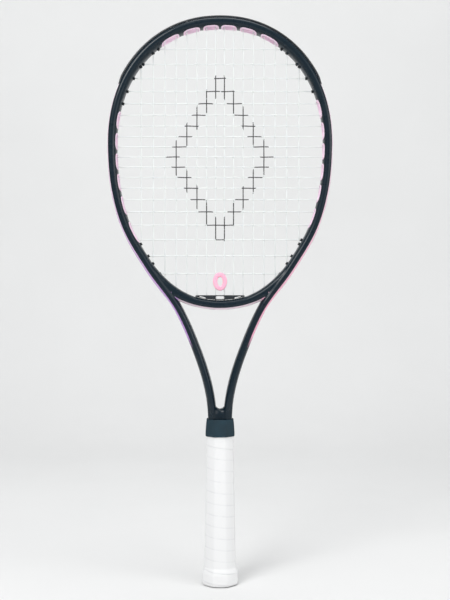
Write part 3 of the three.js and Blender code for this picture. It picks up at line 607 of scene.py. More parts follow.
def collar_material():
    material, kit, shader = material_base("dark_rubber", specular_ior_level=0.4)
    add_grain(kit, shader, palette().collar, 0.00008, grain_scale=2200.0, roughness=0.62,
              variation=0.14)
    return material


def wrap_material():
    """Soft polyurethane wrap: fine creases, tiny dimples, and painted shade along the seam of each turn,
    blotched with a little grey dirt.
    """
    material, kit, shader = material_base("white_wrap", sheen_weight=0.15, sheen_roughness=0.5,
                                          specular_ior_level=0.3)
    wrap = kit.add("ShaderNodeUVMap", uv_map="turns")
    coords = kit.add("ShaderNodeTexCoord").outputs["Object"]
    split = kit.add("ShaderNodeSeparateXYZ")
    kit.wire(wrap.outputs["UV"], split.inputs[0])
    # Painted shade: the seam at the start of each turn is darkened towards a bluish grey, unevenly, with
    # blotches like a little dirt.
    edge = kit.math("FRACT", split.outputs["X"])
    seam_shade = kit.span(edge, 0.0, 0.16, 1.0, 0.0)
    blotch = kit.span(kit.noise(coords, 120.0), 0.35, 0.7)
    grey = kit.math("MULTIPLY", seam_shade, kit.span(blotch, 0.0, 1.0, 0.06, 0.28))
    tone = palette().wrap
    shade = tuple(channel * factor for channel, factor in zip(tone, (0.55, 0.56, 0.60)))
    base = kit.mix(grey, (*tone, 1), (*shade, 1))
    kit.wire(base, shader.inputs["Base Color"])
    dimple = kit.add("ShaderNodeTexVoronoi")
    kit.feed(dimple, Vector=coords, Scale=900.0)
    creases = kit.noise(coords, 420.0, 5.0, 0.6)
    relief = kit.math("ADD", kit.math("MULTIPLY", dimple.outputs["Distance"], 0.5), creases)
    bump = kit.add("ShaderNodeBump")
    kit.feed(bump, Strength=0.35, Distance=0.00012, Height=relief)
    kit.wire(bump.outputs["Normal"], shader.inputs["Normal"])
    kit.wire(kit.span(creases, 0.3, 0.7, 0.52, 0.72), shader.inputs["Roughness"])
    return material


def plain_material(name, tone, roughness, depth, metallic=0.0, grain=1800.0):
    material, kit, shader = material_base(name, metallic=metallic)
    add_grain(kit, shader, tone, depth, tint=0.08, grain_scale=grain, roughness=roughness,
              variation=0.15)
    return material


def stage_material():
    """Pale floor with a faint slow change in its colour, under the real shadow."""
    material, kit, shader = material_base("stage_floor", roughness=0.85, specular_ior_level=0.2)
    coords = kit.add("ShaderNodeTexCoord").outputs["Object"]
    tone = (*palette().floor, 1)
    slightly = tuple(channel * 0.98 for channel in palette().floor)
    base = kit.mix(kit.span(kit.noise(coords, 3.0), 0.35, 0.65), tone, (*slightly, 1))
    kit.wire(base, shader.inputs["Base Color"])
    return material


# ---- the frame ----
def section_points(half_width, half_depth, ridge, groove, sides=44):
    """The tube's section as (out, back) pairs, starting at the middle of the outside wall."""
    points = []
    for i in range(sides):
        angle = 2 * math.pi * i / sides
        c, s = math.cos(angle), math.sin(angle)
        out = half_width * math.copysign(abs(c) ** 0.72, c)
        back = half_depth * math.copysign(abs(s) ** 0.86, s)
        crease = ridge * math.exp(-((out - 0.6) / 0.9) ** 2) if abs(s) > 0.5 else 0
        back += math.copysign(crease, s)
        if groove and c > 0 and abs(back) < GROOVE_HALF_WIDTH + 0.35:
            steep = min(1, max(0, (GROOVE_HALF_WIDTH + 0.35 - abs(back)) / 0.7))
            out -= groove * steep
        points.append((out, back))
    return points


def blend_value(value, low, high):
    share = min(1, max(0, (value - low) / (high - low)))
    return share * share * (3 - 2 * share)


def frame_loops(steps, ridge):
    loops = []
    for place in RAIL.spaced(0, 1, steps):
        z = place.point.z
        hoop = blend_value(z, 318, 372)
        shaft = 1 - blend_value(z, 205, 240)
        width = ARM_HALF_WIDTH + (TUBE_HALF_WIDTH - ARM_HALF_WIDTH) * hoop
        depth = ARM_HALF_DEPTH + (TUBE_HALF_DEPTH - ARM_HALF_DEPTH) * hoop - 1.2 * shaft
        groove = GROOVE_DEPTH * blend_value(z, 322, 332)
        loop = []
        for out, back in section_points(width, depth, ridge, groove):
            spot = place.out(out, back)
            reach = abs(spot.x) + abs(spot.y) / HANDLE_FLATNESS
            limit = 20.5 + 6 * blend_value(z, 208, 232)
            if reach > limit and z < 232:
                squeeze = (reach - limit) / 2
                spot.x -= math.copysign(squeeze, spot.x)
                spot.y -= math.copysign(squeeze * HANDLE_FLATNESS, spot.y)
            loop.append(spot)
        loops.append(loop)
    return loops


def bridge_loops(ridge):
    loops = []
    reach = math.asin(BRIDGE_REACH / BRIDGE_RADIUS)
    steps = 56
    for i in range(steps + 1):
        angle = reach * (2 * i / steps - 1)
        outward = Vector((math.sin(angle), 0, -math.cos(angle)))
        centre = Vector((0, 0, BRIDGE_Z + BRIDGE_RADIUS)) + outward * BRIDGE_RADIUS
        loop = []
        groove = GROOVE_DEPTH if abs(centre.x) < 46 else 0
        for out, back in section_points(TUBE_HALF_WIDTH - 0.1, BRIDGE_HALF_DEPTH, ridge * 0.5, groove):
            if out < 0 and abs(centre.x) > 44:
                out *= max(0.1, 1 - (abs(centre.x) - 44) / 9)
            spot = centre + outward * out
            spot.y = back
            loop.append(spot)
        loops.append(loop)
    return loops


def corner_loops(side):
    """The soft inside curve from the bridge's end up into the hoop, on one side."""
    start = bridge_point(side * 24, 0)
    along = (bridge_point(side * 30, 0) - start).normalized()
    end_place = RAIL.height("right" if side > 0 else "left", 402, 0)
    end = end_place.point
    corner = start + along * 44
    loops = []
    steps = 26
    for i in range(steps + 1):
        t = i / steps
        centre = start * (1 - t) ** 2 + corner * 2 * t * (1 - t) + end * t ** 2
        tangent = ((corner - start) * (1 - t) + (end - corner) * t).normalized()
        outward = Vector((tangent.z, 0, -tangent.x)) * side
        loop = []
        depth = BRIDGE_HALF_DEPTH + (TUBE_HALF_DEPTH - BRIDGE_HALF_DEPTH) * t - 0.3
        for out, back in section_points(TUBE_HALF_WIDTH - 0.4, depth, 0, 0):
            spot = centre + outward * out
            spot.y = back
            loop.append(spot)
        loops.append(loop)
    return loops


def web_loops():
    """The piece between the two arms at the shaft, hollowed to a shallow valley in front and behind."""
    loops = []
    for z, half, depth in ((187, 9.4, 9.2), (198, 9.4, 9.0), (205, 9.4, 8.3), (209.5, 9.6, 7.9),
                           (211.2, 9.8, 7.0)):
        outline = []
        for i in range(32):
            angle = 2 * math.pi * i / 32
            c, s = math.cos(angle), math.sin(angle)
            x = half * math.copysign(abs(c) ** 0.5, c)
            y = depth * math.copysign(abs(s) ** 0.35, s)
            valley = 1 - 0.12 * math.exp(-(x / 3.0) ** 2)
            outline.append(Vector((x, y * valley, z)))
        loops.append(outline)
    return loops


def port_list():
    """Every string port: its kind, its number in the row, and the span along its axis."""
    ports = []
    for count, (first, second) in enumerate(HEAD_PORTS, 1):
        span = (main_x(first) - PORT_MARGIN, main_x(second) + PORT_MARGIN)
        ports.append(("head", count, span))
    for side, pairs in (("left", LEFT_PORTS), ("right", RIGHT_PORTS)):
        for count, (first, second) in enumerate(pairs, 1):
            span = (cross_z(second) - PORT_MARGIN, cross_z(first) + PORT_MARGIN)
            ports.append((side, count, span))
    return ports


def pill(span, grow, half_height, sides=36):
    """A rounded slot outline as (along, back) pairs."""
    middle = (span[0] + span[1]) / 2
    half = (span[1] - span[0]) / 2 + grow
    tall = half_height + grow
    points = []
    for i in range(sides):
        angle = 2 * math.pi * i / sides
        c, s = math.cos(angle), math.sin(angle)
        points.append((middle + half * math.copysign(abs(c) ** 0.5, c),
                       tall * math.copysign(abs(s) ** 0.5, s)))
    return points


def port_spot(side, along, back, out):
    """The point of a port's wall at this offset from the centre line."""
    if side == "head":
        return RAIL.head(along, out).out(out, back)
    return RAIL.height(side, along, out).out(out, back)


def wall_at(back, inner):
    """How far out the tube's wall lies at this distance from the mid plane."""
    share = min(1, abs(back) / TUBE_HALF_DEPTH)
    out = TUBE_HALF_WIDTH * (1 - share ** (1 / 0.43)) ** 0.36
    return -out if inner else out


def port_cutters():
    bm = bmesh.new()
    for side, _, span in port_list():
        outline = pill(span, 0, PORT_HALF_HEIGHT)
        middle = port_spot(side, (span[0] + span[1]) / 2, 0, 0)
        loops = []
        for distance in (-14, 14):
            loop = []
            for along, back in outline:
                if side == "head":
                    loop.append(Vector((along, back, middle.z + distance)))
                else:
                    loop.append(Vector((middle.x + distance, back, along)))
            loops.append(loop)
        loft(bm, loops)
    return bm


def barrel_list():
    """Every string hole outside the ports: region, place, distance behind the mid plane, inner end."""
    barrels = []
    for side, sign, pairs in (("left", -1, LEFT_PORTS), ("right", 1, RIGHT_PORTS)):
        held = {number for pair in pairs for number in pair}
        for number in range(1, CROSSES + 1):
            if number not in held:
                region = "head" if number < pairs[0][0] else side
                barrels.append((region, RAIL.height(side, cross_z(number), BARREL_OUT), RUN_OFFSET,
                                BARREL_OUT))
        for number in range(HEAD_PORT_MAINS + 1, MAINS // 2 + 1):
            x = sign * main_x(number)
            barrels.append(("head", RAIL.head(x, BARREL_OUT), -RUN_OFFSET, BARREL_OUT))
        for number in range(CORNER_MAIN, MAINS // 2 + 1):
            inner = CORNER_OUT if number == CORNER_MAIN else BARREL_OUT
            x = sign * main_x(number)
            barrels.append((side, RAIL.shoulder(x, inner), -RUN_OFFSET, inner))
    return barrels


def round_junctions(piece):
    """Softens the seams where the bridge and the shaft web run into the tubes."""
    bm = bmesh.new()
    bm.from_mesh(piece.data)
    bmesh.ops.triangulate(bm, faces=[face for face in bm.faces if len(face.verts) > 4])
    seams = [edge for edge in bm.edges if edge.is_manifold and edge.calc_face_angle(0) > 0.5]
    centres = []
    for edge in seams:
        spot = (edge.verts[0].co + edge.verts[1].co) / 2 / MM
        near_bridge = 328 < spot.z < 372 and 36 < abs(spot.x) < 70 and abs(spot.y) > GROOVE_HALF_WIDTH + 1
        near_web = 196 < spot.z < 214 and abs(spot.x) < 10
        if near_bridge or near_web:
            centres.append(spot)
    soft = set()
    for vert in bm.verts:
        spot = vert.co / MM
        if (325 < spot.z < 374 and abs(spot.y) > GROOVE_HALF_WIDTH + 1) or 190 < spot.z < 222:
            if any((spot - centre).length < 3.2 for centre in centres):
                soft.add(vert)
    for _ in range(7):
        bmesh.ops.smooth_vert(bm, verts=list(soft), factor=0.5, use_axis_x=True, use_axis_y=True,
                              use_axis_z=True)
    bm.to_mesh(piece.data)
    bm.free()


class RACKET_OT_frame(bpy.types.Operator):
    """Make the moulded frame: hoop, arms, bridge and shaft, with its ports and string holes"""
    bl_idname = "racket.frame"
    bl_label = "Frame"

    def execute(self, context):
        sizes = context.scene.racket_sizes
        ridge = sizes.ridge / MM
        bm = bmesh.new()
        loft(bm, frame_loops(sizes.tube_steps, ridge))
        piece = new_object("racket_frame", bm, [lacquer_material()])
        joins = bmesh.new()
        loft(joins, bridge_loops(ridge))
        boolean(piece, joins, "UNION")
        for side in (-1, 1):
            corner = bmesh.new()
            loft(corner, corner_loops(side))
            boolean(piece, corner, "UNION")
        web = bmesh.new()
        loft(web, web_loops())
        boolean(piece, web, "UNION")
        round_junctions(piece)
        boolean(piece, port_cutters(), "DIFFERENCE")
        holes = bmesh.new()
        for _, place, back, inner in barrel_list():
            solid_rod(holes, place.out(inner - 3, back), place.out(9, back), HOLE_RADIUS)
            if inner == CORNER_OUT:
                foot = place.out(inner, back)
                solid_rod(holes, foot, foot + Vector((0, 0, 16)), 1.5)
        for x in bridge_xs():
            solid_rod(holes, bridge_point(x, 12, -RUN_OFFSET), bridge_point(x, -12, -RUN_OFFSET),
                      HOLE_RADIUS)
        boolean(piece, holes, "DIFFERENCE")
        piece.data.shade_smooth()
        piece.data.set_sharp_from_angle(angle=math.radians(38))
        finish_piece(piece, "frame_lacquer", "frame")
        return {"FINISHED"}


def solid_rod(bm, start, end, radius, sides=14):
    along = (end - start).normalized()
    aside = along.orthogonal().normalized()
    across = along.cross(aside)
    loops = []
    for spot in (start, end):
        loops.append([spot + (aside * math.cos(a) + across * math.sin(a)) * radius
                      for a in (2 * math.pi * i / sides for i in range(sides))])
    loft(bm, loops)


def bridge_xs():
    return [sign * main_x(number) for number in range(1, BRIDGE_MAINS + 1) for sign in (-1, 1)]


# ---- linings of the ports ----
class RACKET_OT_port_liners(bpy.types.Operator):
    """Make the lining of every string port, with a rounded lip on the inside of the hoop"""
    bl_idname = "racket.port_liners"
    bl_label = "Port Linings"

    def execute(self, context):
        lip = context.scene.racket_sizes.flange / MM
        material = port_material()
        for side, number, span in port_list():
            # Each row: growth of the outline, and how far past the wall or at what fixed offset it lies.
            rows = [
                (-0.35, "inner", 0.1), (-0.2, "inner", 0.45), (0.15, "inner", 0.62), (lip - 0.4,
                                                                                      "inner", 0.6),
                (lip, "inner", 0.35), (lip, "inner", -0.1), (-0.05, "inner", -0.15),
                (-0.1, "fixed", 3.2), (-0.5, "fixed", 3.4), (-0.95, "fixed", 3.2), (-1.0, "fixed", 0.0),
                (-0.9, "inner", -1.2),
            ]
            loops = []
            for grow, kind, amount in rows:
                loop = []
                for along, back in pill(span, grow, PORT_HALF_HEIGHT):
                    out = amount if kind == "fixed" else wall_at(back, True) - amount
                    loop.append(port_spot(side, along, back, out))
                loops.append(loop)
            bm = bmesh.new()
            loft(bm, loops, closed=True)
            piece = new_object(f"port_lining_{side}_{number}", bm, [material])
            finish_piece(piece, "pink_plastic", f"port_liner_{side}_{number}")
        return {"FINISHED"}


# ---- bumper and grommets ----
def strip_loops(places, width, low, high):
    outline = [(low, -width), (low, width), (high - 0.15, width), (high, width - 0.2),
               (high, -width + 0.2), (high - 0.15, -width)]
    return [[place.out(out, back) for out, back in outline] for place in places]


def bumper_section():
    wing = [(3.75, 2.4), (6.25, 2.4), (6.3, 4.1), (5.6, 6.6), (4.6, 9.0), (4.9, 9.6), (6.1, 9.5),
            (7.2, 7.6), (7.7, 5.2), (7.8, 3.2), (7.65, 2.3), (7.2, 1.95), (4.4, 1.9)]
    return wing + [(out, -back) for out, back in reversed(wing)]


def barrels_mesh(bm, chosen):
    for _, place, back, inner in chosen:
        nose = 0 if inner == CORNER_OUT else BARREL_NOSE
        start, end = place.out(inner - nose, back), place.out(STRIP_TOP, back)
        tube_between(bm, start, end, BARREL_RADIUS, BARREL_BORE_RADIUS)


class RACKET_OT_bumper(bpy.types.Operator):
    """Make the bumper guard over the head, with its channel for the strings and its barrels"""
    bl_idname = "racket.bumper"
    bl_label = "Bumper Guard"

    def execute(self, context):
        start = RAIL.height("right", BUMPER_END_Z, 0).at
        head = [barrel for barrel in barrel_list() if barrel[0] == "head"]
        section = bumper_section()
        places = RAIL.spaced(start, 1 - start, 150)
        loops = []
        for index, place in enumerate(places):
            ease = blend_value(min(index, len(places) - 1 - index), 0, 5)
            loop = []
            for out, back in section:
                wall = wall_at(back, False) + 0.25
                outer = wall + (out - wall) * (0.25 + 0.75 * ease) if out > wall else out
                loop.append(place.out(outer, back))
            loops.append(loop)
        bm = bmesh.new()
        loft(bm, loops)
        piece = new_object("bumper", bm, [plastic_material()])
        openings = bmesh.new()
        for side, _, span in port_list():
            if side == "head":
                middle = port_spot(side, (span[0] + span[1]) / 2, 0, 0)
                outline = pill(span, 0.3, PORT_HALF_HEIGHT)
                loft(openings, [[Vector((a, b, middle.z + d)) for a, b in outline] for d in (-14, 14)])
        boolean(piece, openings, "DIFFERENCE")
        extra = bmesh.new()
        ats = [barrel[1].at for barrel in head]
        tail = 3.0 / RAIL.length
        for low, high in ((min(ats) - tail, start), (1 - start, max(ats) + tail)):
            loft(extra, strip_loops(RAIL.spaced(low, high, 14), 2.4, 3.7, STRIP_TOP))
        barrels_mesh(extra, head)
        joined = new_object("bumper_barrels", extra, [])
        join_meshes(piece, joined)
        piece.data.shade_smooth()
        piece.data.set_sharp_from_angle(angle=math.radians(40))
        finish_piece(piece, "black_plastic", "bumper_guard")
        return {"FINISHED"}


class RACKET_OT_grommets(bpy.types.Operator):
    """Make the grommet strips of both shoulders and of the bridge"""
    bl_idname = "racket.grommets"
    bl_label = "Grommet Strips"

    def execute(self, context):
        material = plastic_material()
        tail = 2.2 / RAIL.length
        for side in ("left", "right"):
            chosen = [barrel for barrel in barrel_list() if barrel[0] == side]
            ats = [barrel[1].at for barrel in chosen]
            bm = bmesh.new()
            places = RAIL.spaced(min(ats) - tail, max(ats) + tail, 50)
            loft(bm, strip_loops(places, 2.4, 3.7, STRIP_TOP))
            barrels_mesh(bm, chosen)
            piece = new_object(f"shoulder_grommets_{side}", bm, [material])
            finish_piece(piece, "black_plastic", f"grommet_strip_{side}")
        bm = bmesh.new()
        loops = []
        steps = 40
        reach = main_x(BRIDGE_MAINS) + 2.2
        for i in range(steps + 1):
            x = reach * (2 * i / steps - 1)
            outline = [(3.7, -2.4), (3.7, 2.4), (4.25, 2.4), (4.4, 2.2), (4.4, -2.2), (4.25, -2.4)]
            loops.append([bridge_point(x, down, back) for down, back in outline])
        loft(bm, loops)
        for x in bridge_xs():
            start, end = bridge_point(x, 4.2, -RUN_OFFSET), bridge_point(x, -5.75, -RUN_OFFSET)
            tube_between(bm, start, end, BRIDGE_BARREL_RADIUS, BARREL_BORE_RADIUS)
        piece = new_object("bridge_grommets", bm, [material])
        finish_piece(piece, "black_plastic", "throat_grommet_strip")
        return {"FINISHED"}


class RACKET_OT_bridge_spacer(bpy.types.Operator):
    """Make the slotted spacer on top of the bridge"""
    bl_idname = "racket.bridge_spacer"
    bl_label = "Bridge Spacer"

    def execute(self, context):
        _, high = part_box("bridge_insert")
        half = high[0] / MM
        top = high[2] / MM
        depth = high[1] / MM
        steps = 40
        bm = bmesh.new()
        loops = []
        for i in range(steps + 1):
            x = half * (2 * i / steps - 1)
            foot = bridge_point(x, -TUBE_HALF_WIDTH - 0.25).z
            ease = min(1, (half - abs(x)) / 2.5) ** 0.5
            roof = foot + 0.8 + (top - foot - 0.8) * max(ease, 0.05)
            back = depth * (0.8 + 0.2 * ease)
            edge = 0.7 * min(1, (roof - foot) / 2)
            loops.append([Vector((x, y, z)) for y, z in (
                (-back, foot), (back, foot), (back, roof - edge), (back - edge, roof),
                (-back + edge, roof), (-back, roof - edge))])
        loft(bm, loops)
        piece = new_object("bridge_spacer", bm, [plastic_material()])
        middle = (bridge_point(0, -TUBE_HALF_WIDTH - 0.3).z + top) / 2
        cuts = bmesh.new()
        loft(cuts, [[Vector((x, y, middle + z)) for x, z in pill((-6.0, 6.0), 0, 1.7,
                                                                 28)] for y in (-9, 9)])
        for sign in (-1, 1):
            slant = [(17.6, -0.9), (18.2, -1.0), (24.8, 0.9), (25.0, 1.5), (24.4, 1.7), (17.7, 0.1)]
            loft(cuts, [[Vector((sign * x, y, middle + z)) for x, z in slant] for y in (-9, 9)])
        for x in bridge_xs():
            if abs(x) < half:
                solid_rod(cuts, bridge_point(x, 0, -RUN_OFFSET), bridge_point(x, -14, -RUN_OFFSET), 1.4)
        boolean(piece, cuts, "DIFFERENCE")
        bevel_edges(piece, 0.25)
        finish_piece(piece, "black_plastic", "bridge_insert")
        return {"FINISHED"}


def bevel_edges(piece, width, segments=2, angle=40):
    tool = piece.modifiers.new("edges", "BEVEL")
    tool.width = width * MM
    tool.segments = segments
    tool.limit_method = "ANGLE"
    tool.angle_limit = math.radians(angle)
    baked(piece)
    piece.data.shade_smooth()
    piece.data.set_sharp_from_angle(angle=math.radians(40))


# ---- strings ----
def rounded(points, radius=1.3):
    """Replaces each sharp turn of a route by three points on a short curve."""
    smooth = [points[0]]
    for before, here, after in zip(points, points[1:], points[2:]):
        incoming = here - before
        outgoing = after - here
        turn = incoming.angle(outgoing, 0)
        if turn < 0.35:
            smooth.append(here)
            continue
        start = here - incoming.normalized() * min(radius, incoming.length * 0.45)
        end = here + outgoing.normalized() * min(radius, outgoing.length * 0.45)
        for t in (0.0, 0.25, 0.5, 0.75, 1.0):
            smooth.append(start * (1 - t) ** 2 + here * 2 * t * (1 - t) + end * t ** 2)
    smooth.append(points[-1])
    return smooth


def string_piece(name, points, diameter, material):
    """A round string along a route, from its curve."""
    curve = bpy.data.curves.new(name, "CURVE")
    curve.dimensions = "3D"
    curve.bevel_depth = diameter / 2
    curve.bevel_resolution = 2
    curve.use_fill_caps = True
    spline = curve.splines.new("POLY")
    spline.points.add(len(points) - 1)
    for knot, point in zip(spline.points, points):
        knot.co = (*(point * MM), 1)
    holder = bpy.data.objects.new(name + "_line", curve)
    bpy.context.scene.collection.objects.link(holder)
    graph = bpy.context.evaluated_depsgraph_get()
    mesh = bpy.data.meshes.new_from_object(holder.evaluated_get(graph))
    bpy.data.objects.remove(holder)
    mesh.name = name
    mesh.materials.clear()
    mesh.materials.append(material)
    mesh.shade_smooth()
    piece = bpy.data.objects.new(name, mesh)
    bpy.context.scene.collection.objects.link(piece)
    return piece


def groove_run(start, end, back):
    """Points along the string groove between two holes, ends left out."""
    count = max(1, round(abs(end.at - start.at) * RAIL.length / 4))
    return [place.out(RUN_OUT, back) for place in RAIL.spaced(start.at, end.at, count)][1:-1]


def main_order():
    half = MAINS // 2
    return list(range(-half, 0)) + list(range(1, half + 1))


def column(number):
    """Where a main stands in the row of mains, from the left."""
    return main_order().index(number)


def main_ends(number):
    x = main_x(number)
    if abs(number) <= HEAD_PORT_MAINS:
        top_place, top = RAIL.head(x, RUN_OUT), None
    else:
        top_place, top = RAIL.head(x, BARREL_OUT), BARREL_OUT
    if abs(number) <= BRIDGE_MAINS:
        foot_place, foot = None, None
    else:
        foot = CORNER_OUT if abs(number) == CORNER_MAIN else BARREL_OUT
        foot_place = RAIL.shoulder(x, foot)
    return top_place, top, foot_place, foot


def main_points(number, swing):
    x = main_x(number)
    top_place, top, foot_place, foot = main_ends(number)
    if foot_place is None:
        points = [bridge_point(x, RUN_OUT, -RUN_OFFSET), bridge_point(x, -6, -RUN_OFFSET)]
        low = points[-1].z + 8
    else:
        points = [foot_place.out(RUN_OUT, -RUN_OFFSET), foot_place.out(foot, -RUN_OFFSET)]
        low = points[-1].z + 2
    points[-1].x = x
    high = (top_place.out(top or -TUBE_HALF_WIDTH)).z - 1.5
    crossings = [n for n in range(CROSSES, 0, -1) if low < cross_z(n) < high]
    for index, n in enumerate(crossings):
        z = cross_z(n)
        side = -swing if (column(number) + n) % 2 == 0 else swing
        points.append(Vector((x, side, z)))
        if index + 1 < len(crossings):
            gap = cross_z(crossings[index + 1]) - z
            for share in (0.2, 0.35, 0.5, 0.65, 0.8):
                points.append(Vector((x, side * math.cos(math.pi * share), z + gap * share)))
    if top is not None:
        points.append(top_place.out(top, -RUN_OFFSET))
    points.append(top_place.out(RUN_OUT, -RUN_OFFSET))
    return points


class RACKET_OT_main_string(bpy.types.Operator):
    """Make the main string, one length that runs up and down the head"""
    bl_idname = "racket.main_string"
    bl_label = "Main String"

    def execute(self, context):
        sizes = context.scene.racket_sizes
        order = main_order()
        route = []
        for index, number in enumerate(order):
            upwards = index % 2 == 1
            points = main_points(number, sizes.main_swing / MM)
            route += points if upwards else points[::-1]
            if index + 1 == len(order):
                break
            here, after = main_ends(number), main_ends(order[index + 1])
            start, end = (here[0], after[0]) if upwards else (here[2], after[2])
            if start and end:
                route += groove_run(start, end, -RUN_OFFSET)
            else:
                middle = (main_x(number) + main_x(order[index + 1])) / 2
                route.append(bridge_point(middle, RUN_OUT, -RUN_OFFSET))
        piece = string_piece("main_strings", rounded(route), sizes.string, string_material())
        finish_piece(piece, "string", "main_string")
        return {"FINISHED"}


def cross_end(side, number):
    pairs = LEFT_PORTS if side == "left" else RIGHT_PORTS
    if any(number in pair for pair in pairs):
        return RAIL.height(side, cross_z(number), RUN_OUT), None
    return RAIL.height(side, cross_z(number), BARREL_OUT), BARREL_OUT


def cross_points(number, swing):
    z = cross_z(number)
    ends = {}
    for side in ("left", "right"):
        place, inner = cross_end(side, number)
        ends[side] = [place.out(RUN_OUT, RUN_OFFSET)]
        if inner is not None:
            ends[side].append(place.out(inner, RUN_OFFSET))
    left, right = ends["left"][-1].x, ends["right"][-1].x
    met = [n for n in main_order() if left + 1 < main_x(n) < right - 1]
    points = list(ends["left"])
    for index, n in enumerate(met):
        side = swing if (column(n) + number) % 2 == 0 else -swing
        x = main_x(n)
        points.append(Vector((x, side, z)))
        if index + 1 < len(met):
            gap = main_x(met[index + 1]) - x
            for share in (0.2, 0.35, 0.5, 0.65, 0.8):
                points.append(Vector((x + gap * share, side * math.cos(math.pi * share), z)))
    return points + ends["right"][::-1]


class RACKET_OT_cross_string(bpy.types.Operator):
    """Make the cross string, woven over and under the mains"""
    bl_idname = "racket.cross_string"
    bl_label = "Cross String"

    def execute(self, context):
        sizes = context.scene.racket_sizes
        route = []
        for number in range(1, CROSSES + 1):
            leftwards = number % 2 == 1
            points = cross_points(number, sizes.cross_swing / MM)
            route += points[::-1] if leftwards else points
            if number < CROSSES:
                side = "left" if leftwards else "right"
                start, end = cross_end(side, number)[0], cross_end(side, number + 1)[0]
                route += groove_run(start, end, RUN_OFFSET)
        piece = string_piece("cross_strings", rounded(route), sizes.string, string_material())
        finish_piece(piece, "string", "cross_string")
        return {"FINISHED"}


# ---- dampener ----
class RACKET_OT_dampener(bpy.types.Operator):
    """Make the oval silicone dampener between the two middle mains"""
    bl_idname = "racket.dampener"
    bl_label = "Dampener"

    def execute(self, context):
        low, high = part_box("vibration_dampener")
        half_x = (high[0] - low[0]) / 2 / MM
        half_z = (high[2] - low[2]) / 2 / MM
        depth = high[1] / MM
        middle = (high[2] + low[2]) / 2 / MM
        slot = 2.7
        # Each row: inset from the outside edge, and distance from the mid plane.
        rim = 5.35
        rows = [(4.35, -slot), (0.9, -slot), (0.3, -slot - 0.2), (0, -slot - 0.7), (0.1, -depth + 0.55),
                (0.7, -depth + 0.1), (1.6, -depth), (rim - 1.5, -depth), (rim - 0.5, -depth + 0.2),
                (rim, -depth + 0.8)]
        rows = rows + [(inset, -back) for inset, back in reversed(rows)]
        bm = bmesh.new()
        loops = []
        sides = 64
        for inset, back in rows:
            loops.append([Vector(((half_x - inset) * math.cos(a), back,
                                  middle + (half_z - inset) * math.sin(a)))
                          for a in (2 * math.pi * i / sides for i in range(sides))])
        loft(bm, loops, closed=True)
        piece = new_object("dampener", bm, [silicone_material()], angle=math.radians(60))
        finish_piece(piece, "pink_rubber", "vibration_dampener", body="dampener")
        return {"FINISHED"}


# ---- handle ----
def octagon_radius(angle, softness):
    """Distance to a rounded eight-sided outline of unit flats, in this direction."""
    sector = math.pi / 4
    off = (angle + sector / 2) % sector - sector / 2
    sharp = 1 / math.cos(off)
    return 1 + (sharp - 1) * (1 - softness)


def handle_radius(z):
    """Outside radius of the wrapped handle, in millimetres."""
    body, butt = 16.3, 21.6
    radius = body + (butt - body) * (1 - blend_value(z, 13, 31))
    edge = 5.0
    if z < edge:
        share = (edge - z) / edge
        radius -= 3.4 * (1 - math.sqrt(max(0, 1 - share * share)))
    return radius


class RACKET_OT_overgrip(bpy.types.Operator):
    """Make the wrapped overgrip, with the raised edge of each turn"""
    bl_idname = "racket.overgrip"
    bl_label = "Overgrip"

    def execute(self, context):
        sizes = context.scene.racket_sizes
        low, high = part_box("overgrip")
        bottom, top = low[2] / MM, high[2] / MM
        pitch, step = sizes.wrap_pitch / MM, sizes.wrap_step / MM
        rows, sides = 420, 96
        bm = bmesh.new()
        turns = bm.loops.layers.uv.new("turns")

        def spot(z, angle, inset):
            phase = (z / pitch + angle / (2 * math.pi)) % 1
            # Each turn starts with its raised edge and sinks under the next one.
            lift = step * (blend_value(phase, 0, 0.05) * (1 - phase) - 0.55)
            sag = 0.12 * math.sin(2 * math.pi * phase + 1.2) * math.sin(3 * angle + z * 0.21)
            radius = handle_radius(z) - inset
            if inset == 0:
                radius += lift + sag * step - 0.12
            radius *= octagon_radius(angle, 0.45) / octagon_radius(math.pi / 8, 0.45) * 1.055
            return Vector((radius * math.cos(angle), radius * math.sin(angle) * HANDLE_FLATNESS, z))

        loops = []
        for i in range(rows + 1):
            z = bottom + (top - bottom) * i / rows
            loops.append([spot(z, 2 * math.pi * k / sides, 0) for k in range(sides)])
        for z, inset in ((top, 0.8), (bottom, 0.9)):
            loops.append([spot(z, 2 * math.pi * k / sides, inset) for k in range(sides)])
        loft(bm, loops, closed=True)
        for face in bm.faces:
            angles = [math.atan2(loop.vert.co.y / HANDLE_FLATNESS, loop.vert.co.x) % (2 * math.pi)
                      for loop in face.loops]
            wraps = max(angles) - min(angles) > math.pi
            for loop, angle in zip(face.loops, angles):
                if wraps and angle < math.pi:
                    angle += 2 * math.pi
                share = loop.vert.co.z / pitch + angle / (2 * math.pi)
                loop[turns].uv = (share, angle / (2 * math.pi))
        piece = new_object("wrapped_overgrip", bm, [wrap_material()], angle=math.radians(50))
        finish_piece(piece, "white_wrap", "overgrip")
        return {"FINISHED"}


